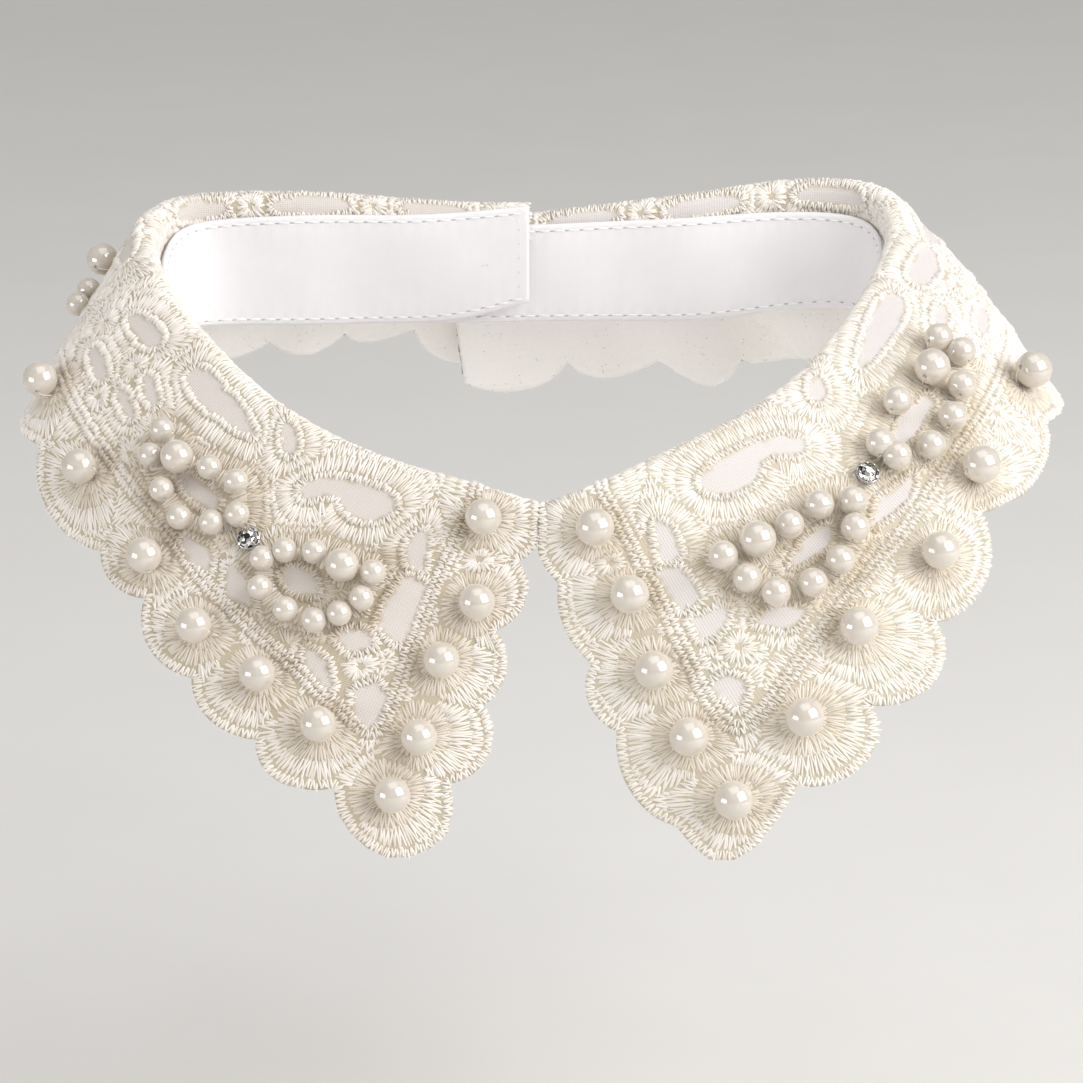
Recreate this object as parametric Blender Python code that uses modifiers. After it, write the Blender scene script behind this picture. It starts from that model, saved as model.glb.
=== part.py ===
# False collar: a neck band, two scalloped falls, pearl beads, two stones and a snap.
# Lengths in the tables are millimetres. The origin is the middle of the neck opening.
# +X is the photo's right, -Y is the front, +Z is up.
import math
import bpy
import bmesh
import numpy as np
from mathutils import Matrix, Vector, geometry

MM = 0.001
LENGTH = 245.0
WALL_FALL = 1.2
WALL_BAND = 1.5
GAP = 0.3
LEAN = 0.08
TONGUE = 8.5
UP = np.array([0.0, 0.0, 1.0])

# Stations of each half, from centre front (0) to centre back (1).
# share of the length, roll line x y z, roll radius, hem line x y z, bulge of the fall
LEFT = [
    (0.00, -0.35, -50.0, -12.4, 2.3, -26.4, -75.4, -74.0, 2.0),
    (0.06, -12.0, -49.0, -9.2, 2.3, -37.4, -74.6, -61.8, 2.2),
    (0.12, -23.9, -45.8, -6.6, 2.3, -51.5, -70.0, -52.4, 2.4),
    (0.20, -38.9, -39.3, -2.4, 2.3, -66.9, -60.5, -40.0, 2.6),
    (0.28, -52.0, -30.8, 3.3, 2.3, -79.2, -47.5, -27.4, 2.8),
    (0.36, -62.4, -20.0, 9.7, 2.3, -89.8, -31.3, -16.0, 3.0),
    (0.44, -71.1, -6.9, 15.8, 2.3, -98.2, -12.6, -6.2, 3.0),
    (0.52, -77.2, 8.0, 21.6, 2.3, -97.0, 8.3, -7.5, 7.5),
    (0.60, -77.8, 24.2, 26.2, 2.3, -81.5, 28.0, -12.5, 9.0),
    (0.68, -70.3, 38.0, 27.6, 2.3, -75.0, 46.0, -12.0, 5.5),
    (0.76, -52.0, 41.7, 27.5, 2.5, -65.0, 60.5, -9.0, 3.0),
    (0.84, -35.2, 43.3, 26.4, 3.1, -46.6, 66.2, -7.8, 3.0),
    (0.92, -18.4, 43.9, 24.9, 3.9, -24.0, 68.4, -7.6, 3.2),
    (1.00, -1.8, 43.9, 24.6, 3.9, -1.8, 68.8, -9.4, 3.2),
]
RIGHT = [
    (0.00, 0.35, -50.0, -12.8, 2.3, 33.1, -77.2, -74.1, 2.0),
    (0.06, 12.7, -48.9, -8.6, 2.3, 46.2, -75.1, -61.9, 2.2),
    (0.12, 24.6, -45.0, -3.8, 2.3, 58.9, -70.0, -49.4, 2.4),
    (0.20, 39.5, -37.2, 1.6, 2.3, 72.9, -59.5, -34.0, 2.6),
    (0.28, 51.9, -26.0, 7.4, 2.3, 84.6, -44.9, -18.6, 2.8),
    (0.36, 60.9, -11.9, 13.5, 2.3, 95.0, -27.0, -6.6, 3.0),
    (0.44, 67.8, 3.1, 19.6, 2.3, 98.8, -6.8, -0.4, 3.0),
    (0.52, 72.2, 20.2, 25.4, 2.3, 96.0, 15.3, -3.5, 8.0),
    (0.60, 68.8, 36.6, 29.6, 2.3, 79.5, 34.0, -12.0, 10.0),
    (0.68, 53.0, 44.0, 29.6, 2.3, 70.5, 51.0, -12.0, 5.5),
    (0.76, 33.1, 44.1, 26.9, 2.2, 54.0, 61.5, -10.5, 3.0),
    (0.84, 15.5, 44.9, 24.4, 1.9, 31.5, 65.8, -12.2, 3.0),
    (0.92, -2.3, 44.8, 22.5, 1.5, 7.7, 66.0, -13.3, 3.0),
    (1.00, -20.1, 44.8, 22.3, 1.5, -16.2, 64.4, -12.4, 3.0),
]
# Soft waves in the fall: place along the length, half width, height at the hem.
WAVES_LEFT = [(222, 7, 2.0), (205, 7, -2.0)]
WAVES_RIGHT = [(176, 8, -3.0), (190, 7, 3.2), (202, 7, -3.0), (214, 7, 2.6)]
# Band: share of the length, top edge below the roll, bottom edge below the roll.
BAND_LEFT = [(0.0, 4.0, 9.0), (0.12, 4.5, 11.0), (0.28, 5.0, 17.0), (0.44, 5.0, 21.5), (0.60, 5.0, 25.0),
             (0.76, 3.6, 26.6), (0.86, 2.0, 25.0), (0.92, 0.5, 23.2), (1.0, -1.4, 18.9)]
BAND_RIGHT = [(0.0, 4.0, 9.0), (0.12, 4.5, 12.0), (0.28, 5.0, 18.0), (0.44, 5.5, 23.0), (0.60, 6.0, 25.4),
              (0.68, 5.4, 26.0), (0.76, 3.8, 25.5), (0.84, 2.4, 23.5), (0.92, 1.2, 21.9), (1.016, 1.0, 21.9)]
# Outline of each fall as a pattern: along the length, down from the roll, height of the scallop
# that ends there. It starts at the roll at centre front and ends at the hem at centre back.
EDGE_LEFT = [(-3.0, 8.0, 0), (0.0, 12.2, 0.7), (-1.0, 25.8, 4.4), (-4.6, 40.1, 3.6), (-3.9, 56.0, 5.0),
             (-6.4, 60.1, 0), (-7.3, 64.8, 0), (-5.1, 68.7, 0), (-1.9, 71.4, 0), (2.0, 72.7, 0),
             (6.1, 72.2, 0), (9.9, 70.6, 0), (13.4, 67.7, 0), (15.9, 63.5, 0),
             (30.4, 59.5, 4.0), (45.8, 53.8, 3.0), (62.0, 45.2, 3.8), (75.6, 43.0, 2.6), (101.4, 37.2, 4.6),
             (121.5, 33.8, 3.2), (147.0, 35.8, 5.0), (165.0, 40.0, 3.9), (181.0, 43.0, 3.9),
             (196.5, 44.2, 3.9), (210.7, 41.6, 3.6), (223.9, 42.8, 3.6), (240.5, 43.5, 7.0), (245.0, 47.0, 0)]
EDGE_RIGHT = [(-4.0, 9.6, 0), (-2.7, 15.8, 0.5), (-3.7, 32.4, 2.2), (-4.9, 46.1, 3.0), (-5.4, 63.8, 2.2),
              (-2.9, 66.8, 0), (-2.1, 70.7, 0), (-0.6, 74.6, 0), (2.8, 76.3, 0), (6.5, 75.7, 0),
              (9.8, 73.7, 0), (12.6, 71.7, 0), (16.1, 69.0, 0), (17.3, 67.8, 0),
              (33.5, 61.1, 6.0), (51.2, 54.1, 6.2), (70.3, 43.5, 5.0), (95.6, 42.4, 4.4),
              (118.5, 37.8, 3.2), (146.5, 40.5, 5.4), (169.7, 46.6, 4.2),
              (184.5, 49.0, 4.2), (197.0, 47.2, 4.4), (211.4, 47.4, 3.8), (226.8, 43.1, 4.6), (245.0, 46.5, 4.6)]
# Beads by their place in the pattern.
PEARLS_LEFT = [(10.5, 6.7), (5.4, 22.2), (7.7, 34.6), (6.1, 49.5), (6.6, 61.2), (22.1, 53.3), (34.8, 48.2),
               (49.4, 45.2), (65.0, 38.9), (87.8, 33.7), (110.4, 28.6), (142.0, 30.0), (158.5, 32.5),
               (173.0, 35.1), (188.8, 37.2), (203.6, 36.5), (217.3, 35.8), (232.0, 38.5)]
PEARLS_RIGHT = [(9.0, 8.7), (8.9, 22.9), (6.4, 37.8), (6.3, 51.8), (7.7, 65.8), (23.3, 57.3), (38.7, 47.6),
                (58.3, 43.9), (74.4, 37.9), (100.7, 34.4), (140.5, 31.0), (159.0, 37.5),
                (177.1, 41.2), (190.8, 41.6), (207.6, 41.0), (219.6, 38.6)]
LOOPS_LEFT = {
    "front": [(45.7, 28.1), (42.8, 24.9), (37.5, 22.8), (31.1, 23.4), (25.5, 22.5), (25.2, 27.9),
              (27.5, 32.0), (30.9, 34.9), (36.6, 35.0), (42.9, 33.2)],
    "side": [(55.1, 23.0), (59.5, 17.8), (66.0, 18.4), (72.6, 20.6), (79.9, 18.1), (77.9, 23.1),
             (71.1, 27.1), (64.5, 29.3), (58.5, 26.8)],
    "back": [(136.5, 18.5), (140.2, 16.2), (146.0, 12.0), (151.0, 14.2), (154.6, 17.6), (152.6, 21.4),
             (147.8, 22.8), (142.6, 21.8)],
}
LOOPS_RIGHT = {
    "front": [(52.3, 26.7), (46.8, 24.0), (39.8, 24.4), (33.1, 24.1), (26.4, 23.5), (27.8, 29.4),
              (30.6, 34.3), (36.9, 36.2), (43.4, 35.0), (49.4, 31.3)],
    "side": [(64.2, 21.1), (73.3, 17.9), (84.2, 18.8), (92.9, 16.3), (93.0, 21.4), (85.4, 25.3),
             (78.4, 27.5), (71.0, 28.3), (64.8, 25.1)],
    "back": [(150.5, 17.5), (153.0, 13.8), (158.0, 11.8), (163.5, 11.2), (169.0, 12.4), (172.0, 16.6),
             (169.5, 21.0), (163.5, 23.6), (157.5, 23.4), (152.5, 21.5)],
}
# Number of the larger pearl in each loop.
BIG_LEFT = {"front": 3, "side": 3, "back": 2}
BIG_RIGHT = {"front": 3, "side": 2, "back": 3}
STONE_LEFT = (50.8, 25.7)
STONE_RIGHT = (59.0, 23.6)


def spline(knots, values, at):
    """Natural cubic spline through the rows of a table."""
    k = np.asarray(knots, float)
    v = np.asarray(values, float)
    at = np.asarray(at, float)
    n = len(k)
    h = np.diff(k)
    system = np.zeros((n, n))
    right = np.zeros(v.shape)
    system[0, 0] = 1.0
    system[-1, -1] = 1.0
    for i in range(1, n - 1):
        system[i, i - 1] = h[i - 1]
        system[i, i] = 2.0 * (h[i - 1] + h[i])
        system[i, i + 1] = h[i]
        right[i] = 3.0 * ((v[i + 1] - v[i]) / h[i] - (v[i] - v[i - 1]) / h[i - 1])
    c = np.linalg.solve(system, right)
    hh = h[:, None]
    slope = (v[1:] - v[:-1]) / hh - hh * (2.0 * c[:-1] + c[1:]) / 3.0
    inside = np.clip(at, k[0], k[-1])
    i = np.clip(np.searchsorted(k, inside) - 1, 0, n - 2)
    x = (inside - k[i])[..., None]
    cube = (c[i + 1] - c[i]) / (3.0 * h[i][..., None])
    value = v[i] + slope[i] * x + c[i] * x * x + cube * x ** 3
    tangent = slope[i] + 2.0 * c[i] * x + 3.0 * cube * x * x
    return value + tangent * (at - inside)[..., None]


def unit(a):
    return a / np.maximum(np.linalg.norm(a, axis=-1, keepdims=True), 1e-12)


def roll_frame(table, u):
    """Station values at u and the level direction that points away from the neck."""
    rows = np.array(table, float)
    u = np.asarray(u, float)
    c = spline(rows[:, 0], rows[:, 1:], u)
    d = spline(rows[:, 0], rows[:, 1:4], u + 0.001) - spline(rows[:, 0], rows[:, 1:4], u - 0.001)
    d[..., 2] = 0.0
    d = unit(d)
    out = np.stack([d[..., 1], -d[..., 0], 0.0 * d[..., 0]], -1)
    side = np.sign(np.sum(out * c[..., 0:3], -1, keepdims=True))
    return c, out * side


class Cloth:
    """One half of the fall: pattern place (along, down) to a point in space."""

    def __init__(self, table, waves):
        self.along = np.arange(-16.0, LENGTH + 2.5, 1.0)
        self.down = np.arange(-9.0, 93.0, 1.0)
        u = np.clip(self.along, 0.0, LENGTH) / LENGTH
        points, reach = self.sections(table, u)
        grid = np.zeros((len(u), len(self.down), 3))
        for i in range(len(u)):
            for k in range(3):
                grid[i, :, k] = np.interp(self.down, reach[i], points[i, :, k])
        zero = int(np.searchsorted(self.along, 0.0))
        last = int(np.searchsorted(self.along, LENGTH))
        for i in range(zero):
            grid[i] = grid[zero] + (grid[zero + 2] - grid[zero]) * (self.along[i] / 2.0)
        for i in range(last + 1, len(self.along)):
            grid[i] = grid[last] + (grid[last] - grid[last - 1]) * (self.along[i] - LENGTH)
        self.grid = grid
        rise = np.zeros(grid.shape[:2])
        for place, width, height in waves:
            x = (self.along[:, None] - place) / width
            rise += height * np.exp(-x * x) * np.clip(self.down[None, :] / 38.0, 0.0, 1.4) ** 1.6
        self.grid = grid + self.normals() * rise[..., None]
        self.out = self.normals()

    def sections(self, table, u):
        c, out = roll_frame(table, u)
        roll = c[:, 0:3]
        r = c[:, 3:4]
        hem = c[:, 4:7]
        bulge = c[:, 7:8]
        centre = roll - UP * r
        down = unit(-UP + LEAN * out)
        chord = unit(hem - centre)
        across = unit(out - chord * np.sum(out * chord, -1, keepdims=True))
        mid = (centre + hem) / 2.0 + across * (bulge + 0.5 * r)
        start = centre
        for k in range(3):
            d = mid - start
            turn = np.arctan2(np.sum(d * out, -1), -d[:, 2])
            start = centre + (out * np.cos(turn)[:, None] + UP * np.sin(turn)[:, None]) * r
        inner = centre - out * r
        points = [inner + down * 12.0, inner + down * 6.0]
        for i in range(13):
            q = math.pi + (turn - math.pi) * i / 12.0
            points.append(centre + (out * np.cos(q)[:, None] + UP * np.sin(q)[:, None]) * r)
        start = points[-1]
        for i in range(1, 25):
            w = i / 24.0
            points.append((1 - w) ** 2 * start + 2 * w * (1 - w) * mid + w * w * hem)
        points.append(hem + unit(hem - mid) * 60.0)
        points = np.stack(points, 1)
        step = np.linalg.norm(np.diff(points, axis=1), axis=-1)
        reach = np.concatenate([np.zeros((len(u), 1)), np.cumsum(step, 1)], 1)
        top = np.argmax(points[:, 2:15, 2], axis=1) + 2
        return points, reach - reach[np.arange(len(u)), top][:, None]

    def normals(self):
        n = unit(np.cross(np.gradient(self.grid, axis=0), np.gradient(self.grid, axis=1)))
        middle = len(self.along) // 2
        row = int(np.searchsorted(self.down, 20.0))
        if n[middle, row, 0] * self.grid[middle, row, 0] < 0.0:
            n = -n
        return n

    def look(self, grid, s, t):
        x = np.clip(np.asarray(s, float) - self.along[0], 0.0, len(self.along) - 1.001)
        y = np.clip(np.asarray(t, float) - self.down[0], 0.0, len(self.down) - 1.001)
        i = x.astype(int)
        j = y.astype(int)
        fx = (x - i)[..., None]
        fy = (y - j)[..., None]
        near = grid[i, j] * (1 - fx) + grid[i + 1, j] * fx
        far = grid[i, j + 1] * (1 - fx) + grid[i + 1, j + 1] * fx
        return near * (1 - fy) + far * fy

    def point(self, s, t, lift=0.0):
        return self.look(self.grid, s, t) + unit(self.look(self.out, s, t)) * lift


def seam_place(cloth, sign, t):
    """Where along the pattern the cloth meets the middle plane, half a seam gap short of it."""
    s = np.arange(-8.0, 6.0, 0.05)
    x = cloth.point(s, np.full(s.shape, t))[:, 0] * sign
    return float(np.interp(0.42, x, s))


def outline(edge, cloth, sign):
    """The pattern's outline, scallops as arcs, from the roll at the front round to the roll at the back."""
    depth = edge[0][1]
    points = []
    for t in (-TONGUE, -6.0, -3.7, -2.3, -1.0, 0.3, 1.6, 3.4, 5.7, depth):
        points.append((seam_place(cloth, sign, t), t))
    for s, t, height in edge[1:]:
        a = np.array(points[-1])
        b = np.array([s, t])
        chord = np.linalg.norm(b - a)
        if height > 0.0:
            side = np.array([-(b - a)[1], (b - a)[0]]) / chord
            radius = (chord * chord / 4.0 + height * height) / (2.0 * height)
            half = math.asin(min(1.0, chord / 2.0 / radius))
            if height > chord / 2.0:
                half = math.pi - half
            steps = 5
            for i in range(1, steps):
                q = -half + 2.0 * half * i / steps
                x = chord / 2.0 + radius * math.sin(q)
                y = radius * (math.cos(q) - math.cos(half))
                p = a + (b - a) / chord * x + side * y
                points.append((float(p[0]), float(p[1])))
        points.append((float(b[0]), float(b[1])))
    for t in (40.0, 33.0, 26.0, 20.0, 14.0, 8.0, 3.4, 1.6, 0.3, -1.0, -2.3, -3.7, -6.0, -TONGUE):
        points.append((LENGTH, t))
    for i in range(34, 0, -1):
        points.append((LENGTH * i / 35.0, -TONGUE))
    return points


def inside(points, s, t, margin):
    """True where a pattern point lies in the outline and clear of it."""
    p = np.array(points)
    q = np.roll(p, -1, axis=0)
    here = np.array([s, t])
    d = q - p
    k = np.clip(np.sum((here - p) * d, 1) / np.maximum(np.sum(d * d, 1), 1e-9), 0.0, 1.0)
    near = np.min(np.linalg.norm(p + d * k[:, None] - here, axis=1))
    crossing = ((p[:, 1] > t) != (q[:, 1] > t))
    at = p[:, 0] + (t - p[:, 1]) / np.where(d[:, 1] == 0.0, 1e-9, d[:, 1]) * d[:, 0]
    count = np.sum(crossing & (at > s))
    return bool(count % 2 == 1) and near > margin


for old in list(bpy.data.objects):
    bpy.data.objects.remove(old, do_unlink=True)
collection = bpy.data.collections.new("false_collar")
bpy.context.scene.collection.children.link(collection)


def finish(obj, name, colour, rough, metal=0.0):
    """Name the object, give it its own material and move it to the collection."""
    obj.name = name
    obj.data.name = name
    for other in list(obj.users_collection):
        other.objects.unlink(obj)
    collection.objects.link(obj)
    material = bpy.data.materials.new(name + "_material")
    material.use_nodes = True
    shader = material.node_tree.nodes["Principled BSDF"]
    shader.inputs["Base Color"].default_value = colour
    shader.inputs["Roughness"].default_value = rough
    shader.inputs["Metallic"].default_value = metal
    obj.data.materials.clear()
    obj.data.materials.append(material)
    return obj


def sheet_object(points, faces):
    mesh = bpy.data.meshes.new("sheet")
    mesh.from_pydata([tuple(float(c) * MM for c in p) for p in points], [], faces)
    mesh.update()
    obj = bpy.data.objects.new("sheet", mesh)
    bpy.context.scene.collection.objects.link(obj)
    return obj


def solidify(obj, wall):
    modifier = obj.modifiers.new("wall", "SOLIDIFY")
    modifier.thickness = wall * MM
    modifier.offset = 0.0
    modifier.use_even_offset = True
    modifier.thickness_clamp = 1.0
    return obj


def apply_all(obj):
    bpy.context.view_layer.objects.active = obj
    for modifier in list(obj.modifiers):
        bpy.ops.object.modifier_apply(modifier=modifier.name)
    return obj


def make_fall(name, cloth, edge, colour):
    """Lay the pattern out flat, mesh it, place every point in space and give it a wall."""
    sign = -1.0 if name.endswith("left") else 1.0
    border = outline(edge, cloth, sign)
    points = [Vector(p) for p in border]
    count = len(points)
    rows = [-6.0, -3.7, -2.3, -1.0, 0.3, 1.6, 3.4]
    for row in rows:
        for i in range(1, 35):
            points.append(Vector((LENGTH * i / 35.0, row)))
    for j in range(12):
        row = 8.0 + 6.2 * j
        shift = 3.5 if j % 2 else 0.0
        for i in range(-1, 36):
            s = LENGTH * i / 35.0 + shift
            if inside(border, s, row, 2.6):
                points.append(Vector((s, row)))
    edges = [(i, (i + 1) % count) for i in range(count)]
    flat, _, faces, _, _, _ = geometry.delaunay_2d_cdt(points, edges, [], 1, 1e-4)
    s = np.array([p.x for p in flat])
    t = np.array([p.y for p in flat])
    place = cloth.point(s, t)
    seam = (s < 10.0) & (place[:, 0] * sign < 0.42)
    place[seam, 0] = sign * 0.42
    obj = sheet_object(place, [tuple(f) for f in faces])
    shell = bmesh.new()
    shell.from_mesh(obj.data)
    bmesh.ops.remove_doubles(shell, verts=shell.verts, dist=0.00005)
    bmesh.ops.recalc_face_normals(shell, faces=shell.faces)
    shell.to_mesh(obj.data)
    shell.free()
    solidify(obj, WALL_FALL)
    apply_all(obj)
    return finish(obj, name, colour, 0.8)


def band_column(table, rows, u):
    """Top and bottom of the band's middle surface at u."""
    c, out = roll_frame(table, np.array([u]))
    lap, depth = spline([r[0] for r in rows], [[r[1], r[2]] for r in rows], np.array([u]))[0]
    away = c[0, 3] + WALL_FALL / 2.0 + GAP + WALL_BAND / 2.0
    base = c[0, 0:3] - out[0] * away
    column = []
    for k in range(3):
        fall = lap + (depth - lap) * k / 2.0
        column.append(base - UP * fall + out[0] * LEAN * (fall - c[0, 3]))
    return column


def make_band():
    columns = []
    for i in range(24):
        columns.append(band_column(LEFT, BAND_LEFT, 1.0 - i / 24.0))
    a = band_column(LEFT, BAND_LEFT, 0.0)
    b = band_column(RIGHT, BAND_RIGHT, 0.0)
    columns.append([(p + q) / 2.0 for p, q in zip(a, b)])
    for i in range(1, 26):
        columns.append(band_column(RIGHT, BAND_RIGHT, min(1.016, i / 24.0)))
    wide = len(columns)
    grid = bmesh.new()
    bmesh.ops.create_grid(grid, x_segments=wide - 1, y_segments=2, size=1.0)
    grid.verts.ensure_lookup_table()
    for v in grid.verts:
        i = int(round((v.co.x + 1.0) / 2.0 * (wide - 1)))
        k = int(round(1.0 - v.co.y))
        v.co = Vector([float(c) * MM for c in columns[i][k]])
    mesh = bpy.data.meshes.new("band")
    grid.to_mesh(mesh)
    grid.free()
    obj = bpy.data.objects.new("band", mesh)
    bpy.context.scene.collection.objects.link(obj)
    solidify(obj, WALL_BAND)
    apply_all(obj)
    return finish(obj, "stand", (0.86, 0.87, 0.89, 1.0), 0.85)


def bead(radius, place, detail=2):
    """A ball with the same volume as a true sphere of that radius."""
    bpy.ops.mesh.primitive_ico_sphere_add(subdivisions=detail, radius=radius * 1.03 * MM,
                                          location=[float(c) * MM for c in place])
    obj = bpy.context.active_object
    bpy.ops.object.transform_apply(location=True, rotation=True, scale=True)
    return obj


def join_into(main, other):
    modifier = main.modifiers.new("union", "BOOLEAN")
    modifier.operation = "UNION"
    modifier.solver = "EXACT"
    modifier.object = other
    bpy.context.view_layer.objects.active = main
    bpy.ops.object.modifier_apply(modifier=modifier.name)
    bpy.data.objects.remove(other, do_unlink=True)


def make_loop(name, cloth, places, big, small_radius, big_radius):
    """A closed string of pearls: balls joined to the thread that runs through them."""
    lift = WALL_FALL / 2.0 + GAP
    centres = []
    for i, (s, t) in enumerate(places):
        radius = big_radius if i == big else small_radius
        centres.append((cloth.point(s, t, lift + radius * 1.03), radius))
    curve = bpy.data.curves.new("thread", "CURVE")
    curve.dimensions = "3D"
    curve.bevel_depth = 0.45 * MM
    curve.bevel_resolution = 0
    curve.use_fill_caps = True
    line = curve.splines.new("POLY")
    line.points.add(len(centres) - 1)
    for i, (p, _) in enumerate(centres):
        line.points[i].co = (float(p[0]) * MM, float(p[1]) * MM, float(p[2]) * MM, 1.0)
    line.use_cyclic_u = True
    thread = bpy.data.objects.new("thread", curve)
    bpy.context.scene.collection.objects.link(thread)
    bpy.context.view_layer.objects.active = thread
    thread.select_set(True)
    bpy.ops.object.convert(target="MESH")
    thread.select_set(False)
    main = thread
    for p, radius in centres:
        join_into(main, bead(radius, p))
    return finish(main, name, (0.80, 0.76, 0.68, 1.0), 0.25)


def make_stone(name, cloth, place):
    """A round claw setting with its stone, as one turned shape standing on the cloth."""
    foot = cloth.point(place[0], place[1], WALL_FALL / 2.0 + GAP)
    n = unit(cloth.look(cloth.out, place[0], place[1]))
    turn = Vector([float(c) for c in n]).to_track_quat("Z", "Y").to_matrix().to_4x4()
    bpy.ops.mesh.primitive_cone_add(vertices=16, radius1=1.9 * MM, radius2=2.35 * MM, depth=1.4 * MM,
                                    location=(0.0, 0.0, 0.7 * MM))
    cup = bpy.context.active_object
    bpy.ops.object.transform_apply(location=True, rotation=True, scale=True)
    bpy.ops.mesh.primitive_cone_add(vertices=16, radius1=2.2 * MM, radius2=1.2 * MM, depth=1.2 * MM,
                                    location=(0.0, 0.0, 1.9 * MM))
    crown = bpy.context.active_object
    bpy.ops.object.transform_apply(location=True, rotation=True, scale=True)
    join_into(cup, crown)
    move = Matrix.Translation(Vector([float(c) * MM for c in foot])) @ turn
    cup.data.transform(move)
    return finish(cup, name, (0.75, 0.76, 0.78, 1.0), 0.2, 0.6)


left = Cloth(LEFT, WAVES_LEFT)
right = Cloth(RIGHT, WAVES_RIGHT)
make_band()
make_fall("fall_left", left, EDGE_LEFT, (0.80, 0.77, 0.68, 1.0))
make_fall("fall_right", right, EDGE_RIGHT, (0.84, 0.82, 0.75, 1.0))

lift = WALL_FALL / 2.0 + GAP
for side, cloth, places, radius in (("left", left, PEARLS_LEFT, 3.4), ("right", right, PEARLS_RIGHT, 3.65)):
    for i, (s, t) in enumerate(places):
        ball = bead(radius, cloth.point(s, t, lift + radius * 1.03))
        finish(ball, "pearl_%s_%02d" % (side, i + 1), (0.82, 0.79, 0.72, 1.0), 0.2)

for key in ("front", "side", "back"):
    make_loop("loop_left_" + key, left, LOOPS_LEFT[key], BIG_LEFT[key], 2.4, 3.2)
    make_loop("loop_right_" + key, right, LOOPS_RIGHT[key], BIG_RIGHT[key], 2.8, 3.5)

make_stone("rhinestone_left", left, STONE_LEFT)
make_stone("rhinestone_right", right, STONE_RIGHT)

# The snap lies between the two band ends, its flat sides facing them.
c, out = roll_frame(LEFT, np.array([0.95]))
gap_centre = c[0, 0:3] - out[0] * (c[0, 3] + 0.06) - UP * 12.5 + out[0] * LEAN * 8.6
bpy.ops.mesh.primitive_cylinder_add(vertices=16, radius=3.5 * MM, depth=1.1 * MM)
disc = bpy.context.active_object
tilt = Vector([float(v) for v in unit(out[0] + UP * LEAN)]).to_track_quat("Z", "Y").to_matrix().to_4x4()
disc.data.transform(Matrix.Translation(Vector([float(v) * MM for v in gap_centre])) @ tilt)
finish(disc, "snap", (0.6, 0.61, 0.63, 1.0), 0.3, 1.0)
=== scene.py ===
# False collar: a plain band, two embroidered falls, pearl beads, two stones and a snap.
import math
import bpy
import bmesh
import numpy as np
from mathutils import Matrix, Vector, geometry
from mathutils.kdtree import KDTree


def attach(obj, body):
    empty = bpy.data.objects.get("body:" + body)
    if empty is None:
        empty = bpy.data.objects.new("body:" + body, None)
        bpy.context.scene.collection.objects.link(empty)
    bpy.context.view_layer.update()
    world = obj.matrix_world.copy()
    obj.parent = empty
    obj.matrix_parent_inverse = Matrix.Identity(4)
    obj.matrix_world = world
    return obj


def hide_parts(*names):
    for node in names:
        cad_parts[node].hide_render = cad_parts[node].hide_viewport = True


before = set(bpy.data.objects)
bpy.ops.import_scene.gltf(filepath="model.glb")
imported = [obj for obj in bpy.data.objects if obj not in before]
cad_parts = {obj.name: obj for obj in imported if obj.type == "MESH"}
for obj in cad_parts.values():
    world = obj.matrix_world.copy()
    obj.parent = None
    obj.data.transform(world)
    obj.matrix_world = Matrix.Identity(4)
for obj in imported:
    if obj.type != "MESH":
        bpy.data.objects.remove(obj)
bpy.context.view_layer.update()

for obj in list(bpy.context.selected_objects):
    obj.select_set(False)

# Sizes are in millimetres, unless a comment says otherwise.
MM = 0.001
UP = np.array([0.0, 0.0, 1.0])
# Each half's length along its roll, from centre front to centre back.
LENGTH = 245.0
# How far hanging cloth leans away from the neck for each millimetre that it falls.
LEAN = 0.08
# How far a fall reaches down inside the collar from the top of its roll.
TONGUE = 8.5
# Thickness of the falls' ground cloth and of the band.
CLOTH = 1.0
BAND = 1.4
# Half the solid falls' wall, the gap, and half the solid band's wall: the band's way in from a fall.
HALF_FALL = 0.6
GAP = 0.3
HALF_BAND = 0.75
# Half the seam gap at centre front.
SEAM = 0.06
rng = np.random.default_rng(7)

# Stations of each half, from centre front (0) to centre back (1).
# share of the length, roll line x y z, roll radius, hem line x y z, bulge of the fall
LEFT = [
    (0.00, -0.35, -50.0, -12.4, 2.3, -26.4, -75.4, -74.0, 2.0),
    (0.06, -12.0, -49.0, -9.2, 2.3, -37.4, -74.6, -61.8, 2.2),
    (0.12, -23.9, -45.8, -6.6, 2.3, -51.5, -70.0, -52.4, 2.4),
    (0.20, -38.9, -39.3, -2.4, 2.3, -66.9, -60.5, -40.0, 2.6),
    (0.28, -52.0, -30.8, 3.3, 2.3, -79.2, -47.5, -27.4, 2.8),
    (0.36, -62.4, -20.0, 9.7, 2.3, -89.8, -31.3, -16.0, 3.0),
    (0.44, -71.1, -6.9, 15.8, 2.3, -98.2, -12.6, -6.2, 3.0),
    (0.52, -77.2, 8.0, 21.6, 2.3, -97.0, 8.3, -7.5, 7.5),
    (0.60, -77.8, 24.2, 26.2, 2.3, -81.5, 28.0, -12.5, 9.0),
    (0.68, -70.3, 38.0, 27.6, 2.3, -75.0, 46.0, -12.0, 5.5),
    (0.76, -52.0, 41.7, 27.5, 2.5, -65.0, 60.5, -9.0, 3.0),
    (0.84, -35.2, 43.3, 26.4, 3.1, -46.6, 66.2, -7.8, 3.0),
    (0.92, -18.4, 43.9, 24.9, 3.9, -24.0, 68.4, -7.6, 3.2),
    (1.00, -1.8, 43.9, 24.6, 3.9, -1.8, 68.8, -9.4, 3.2),
]
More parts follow.
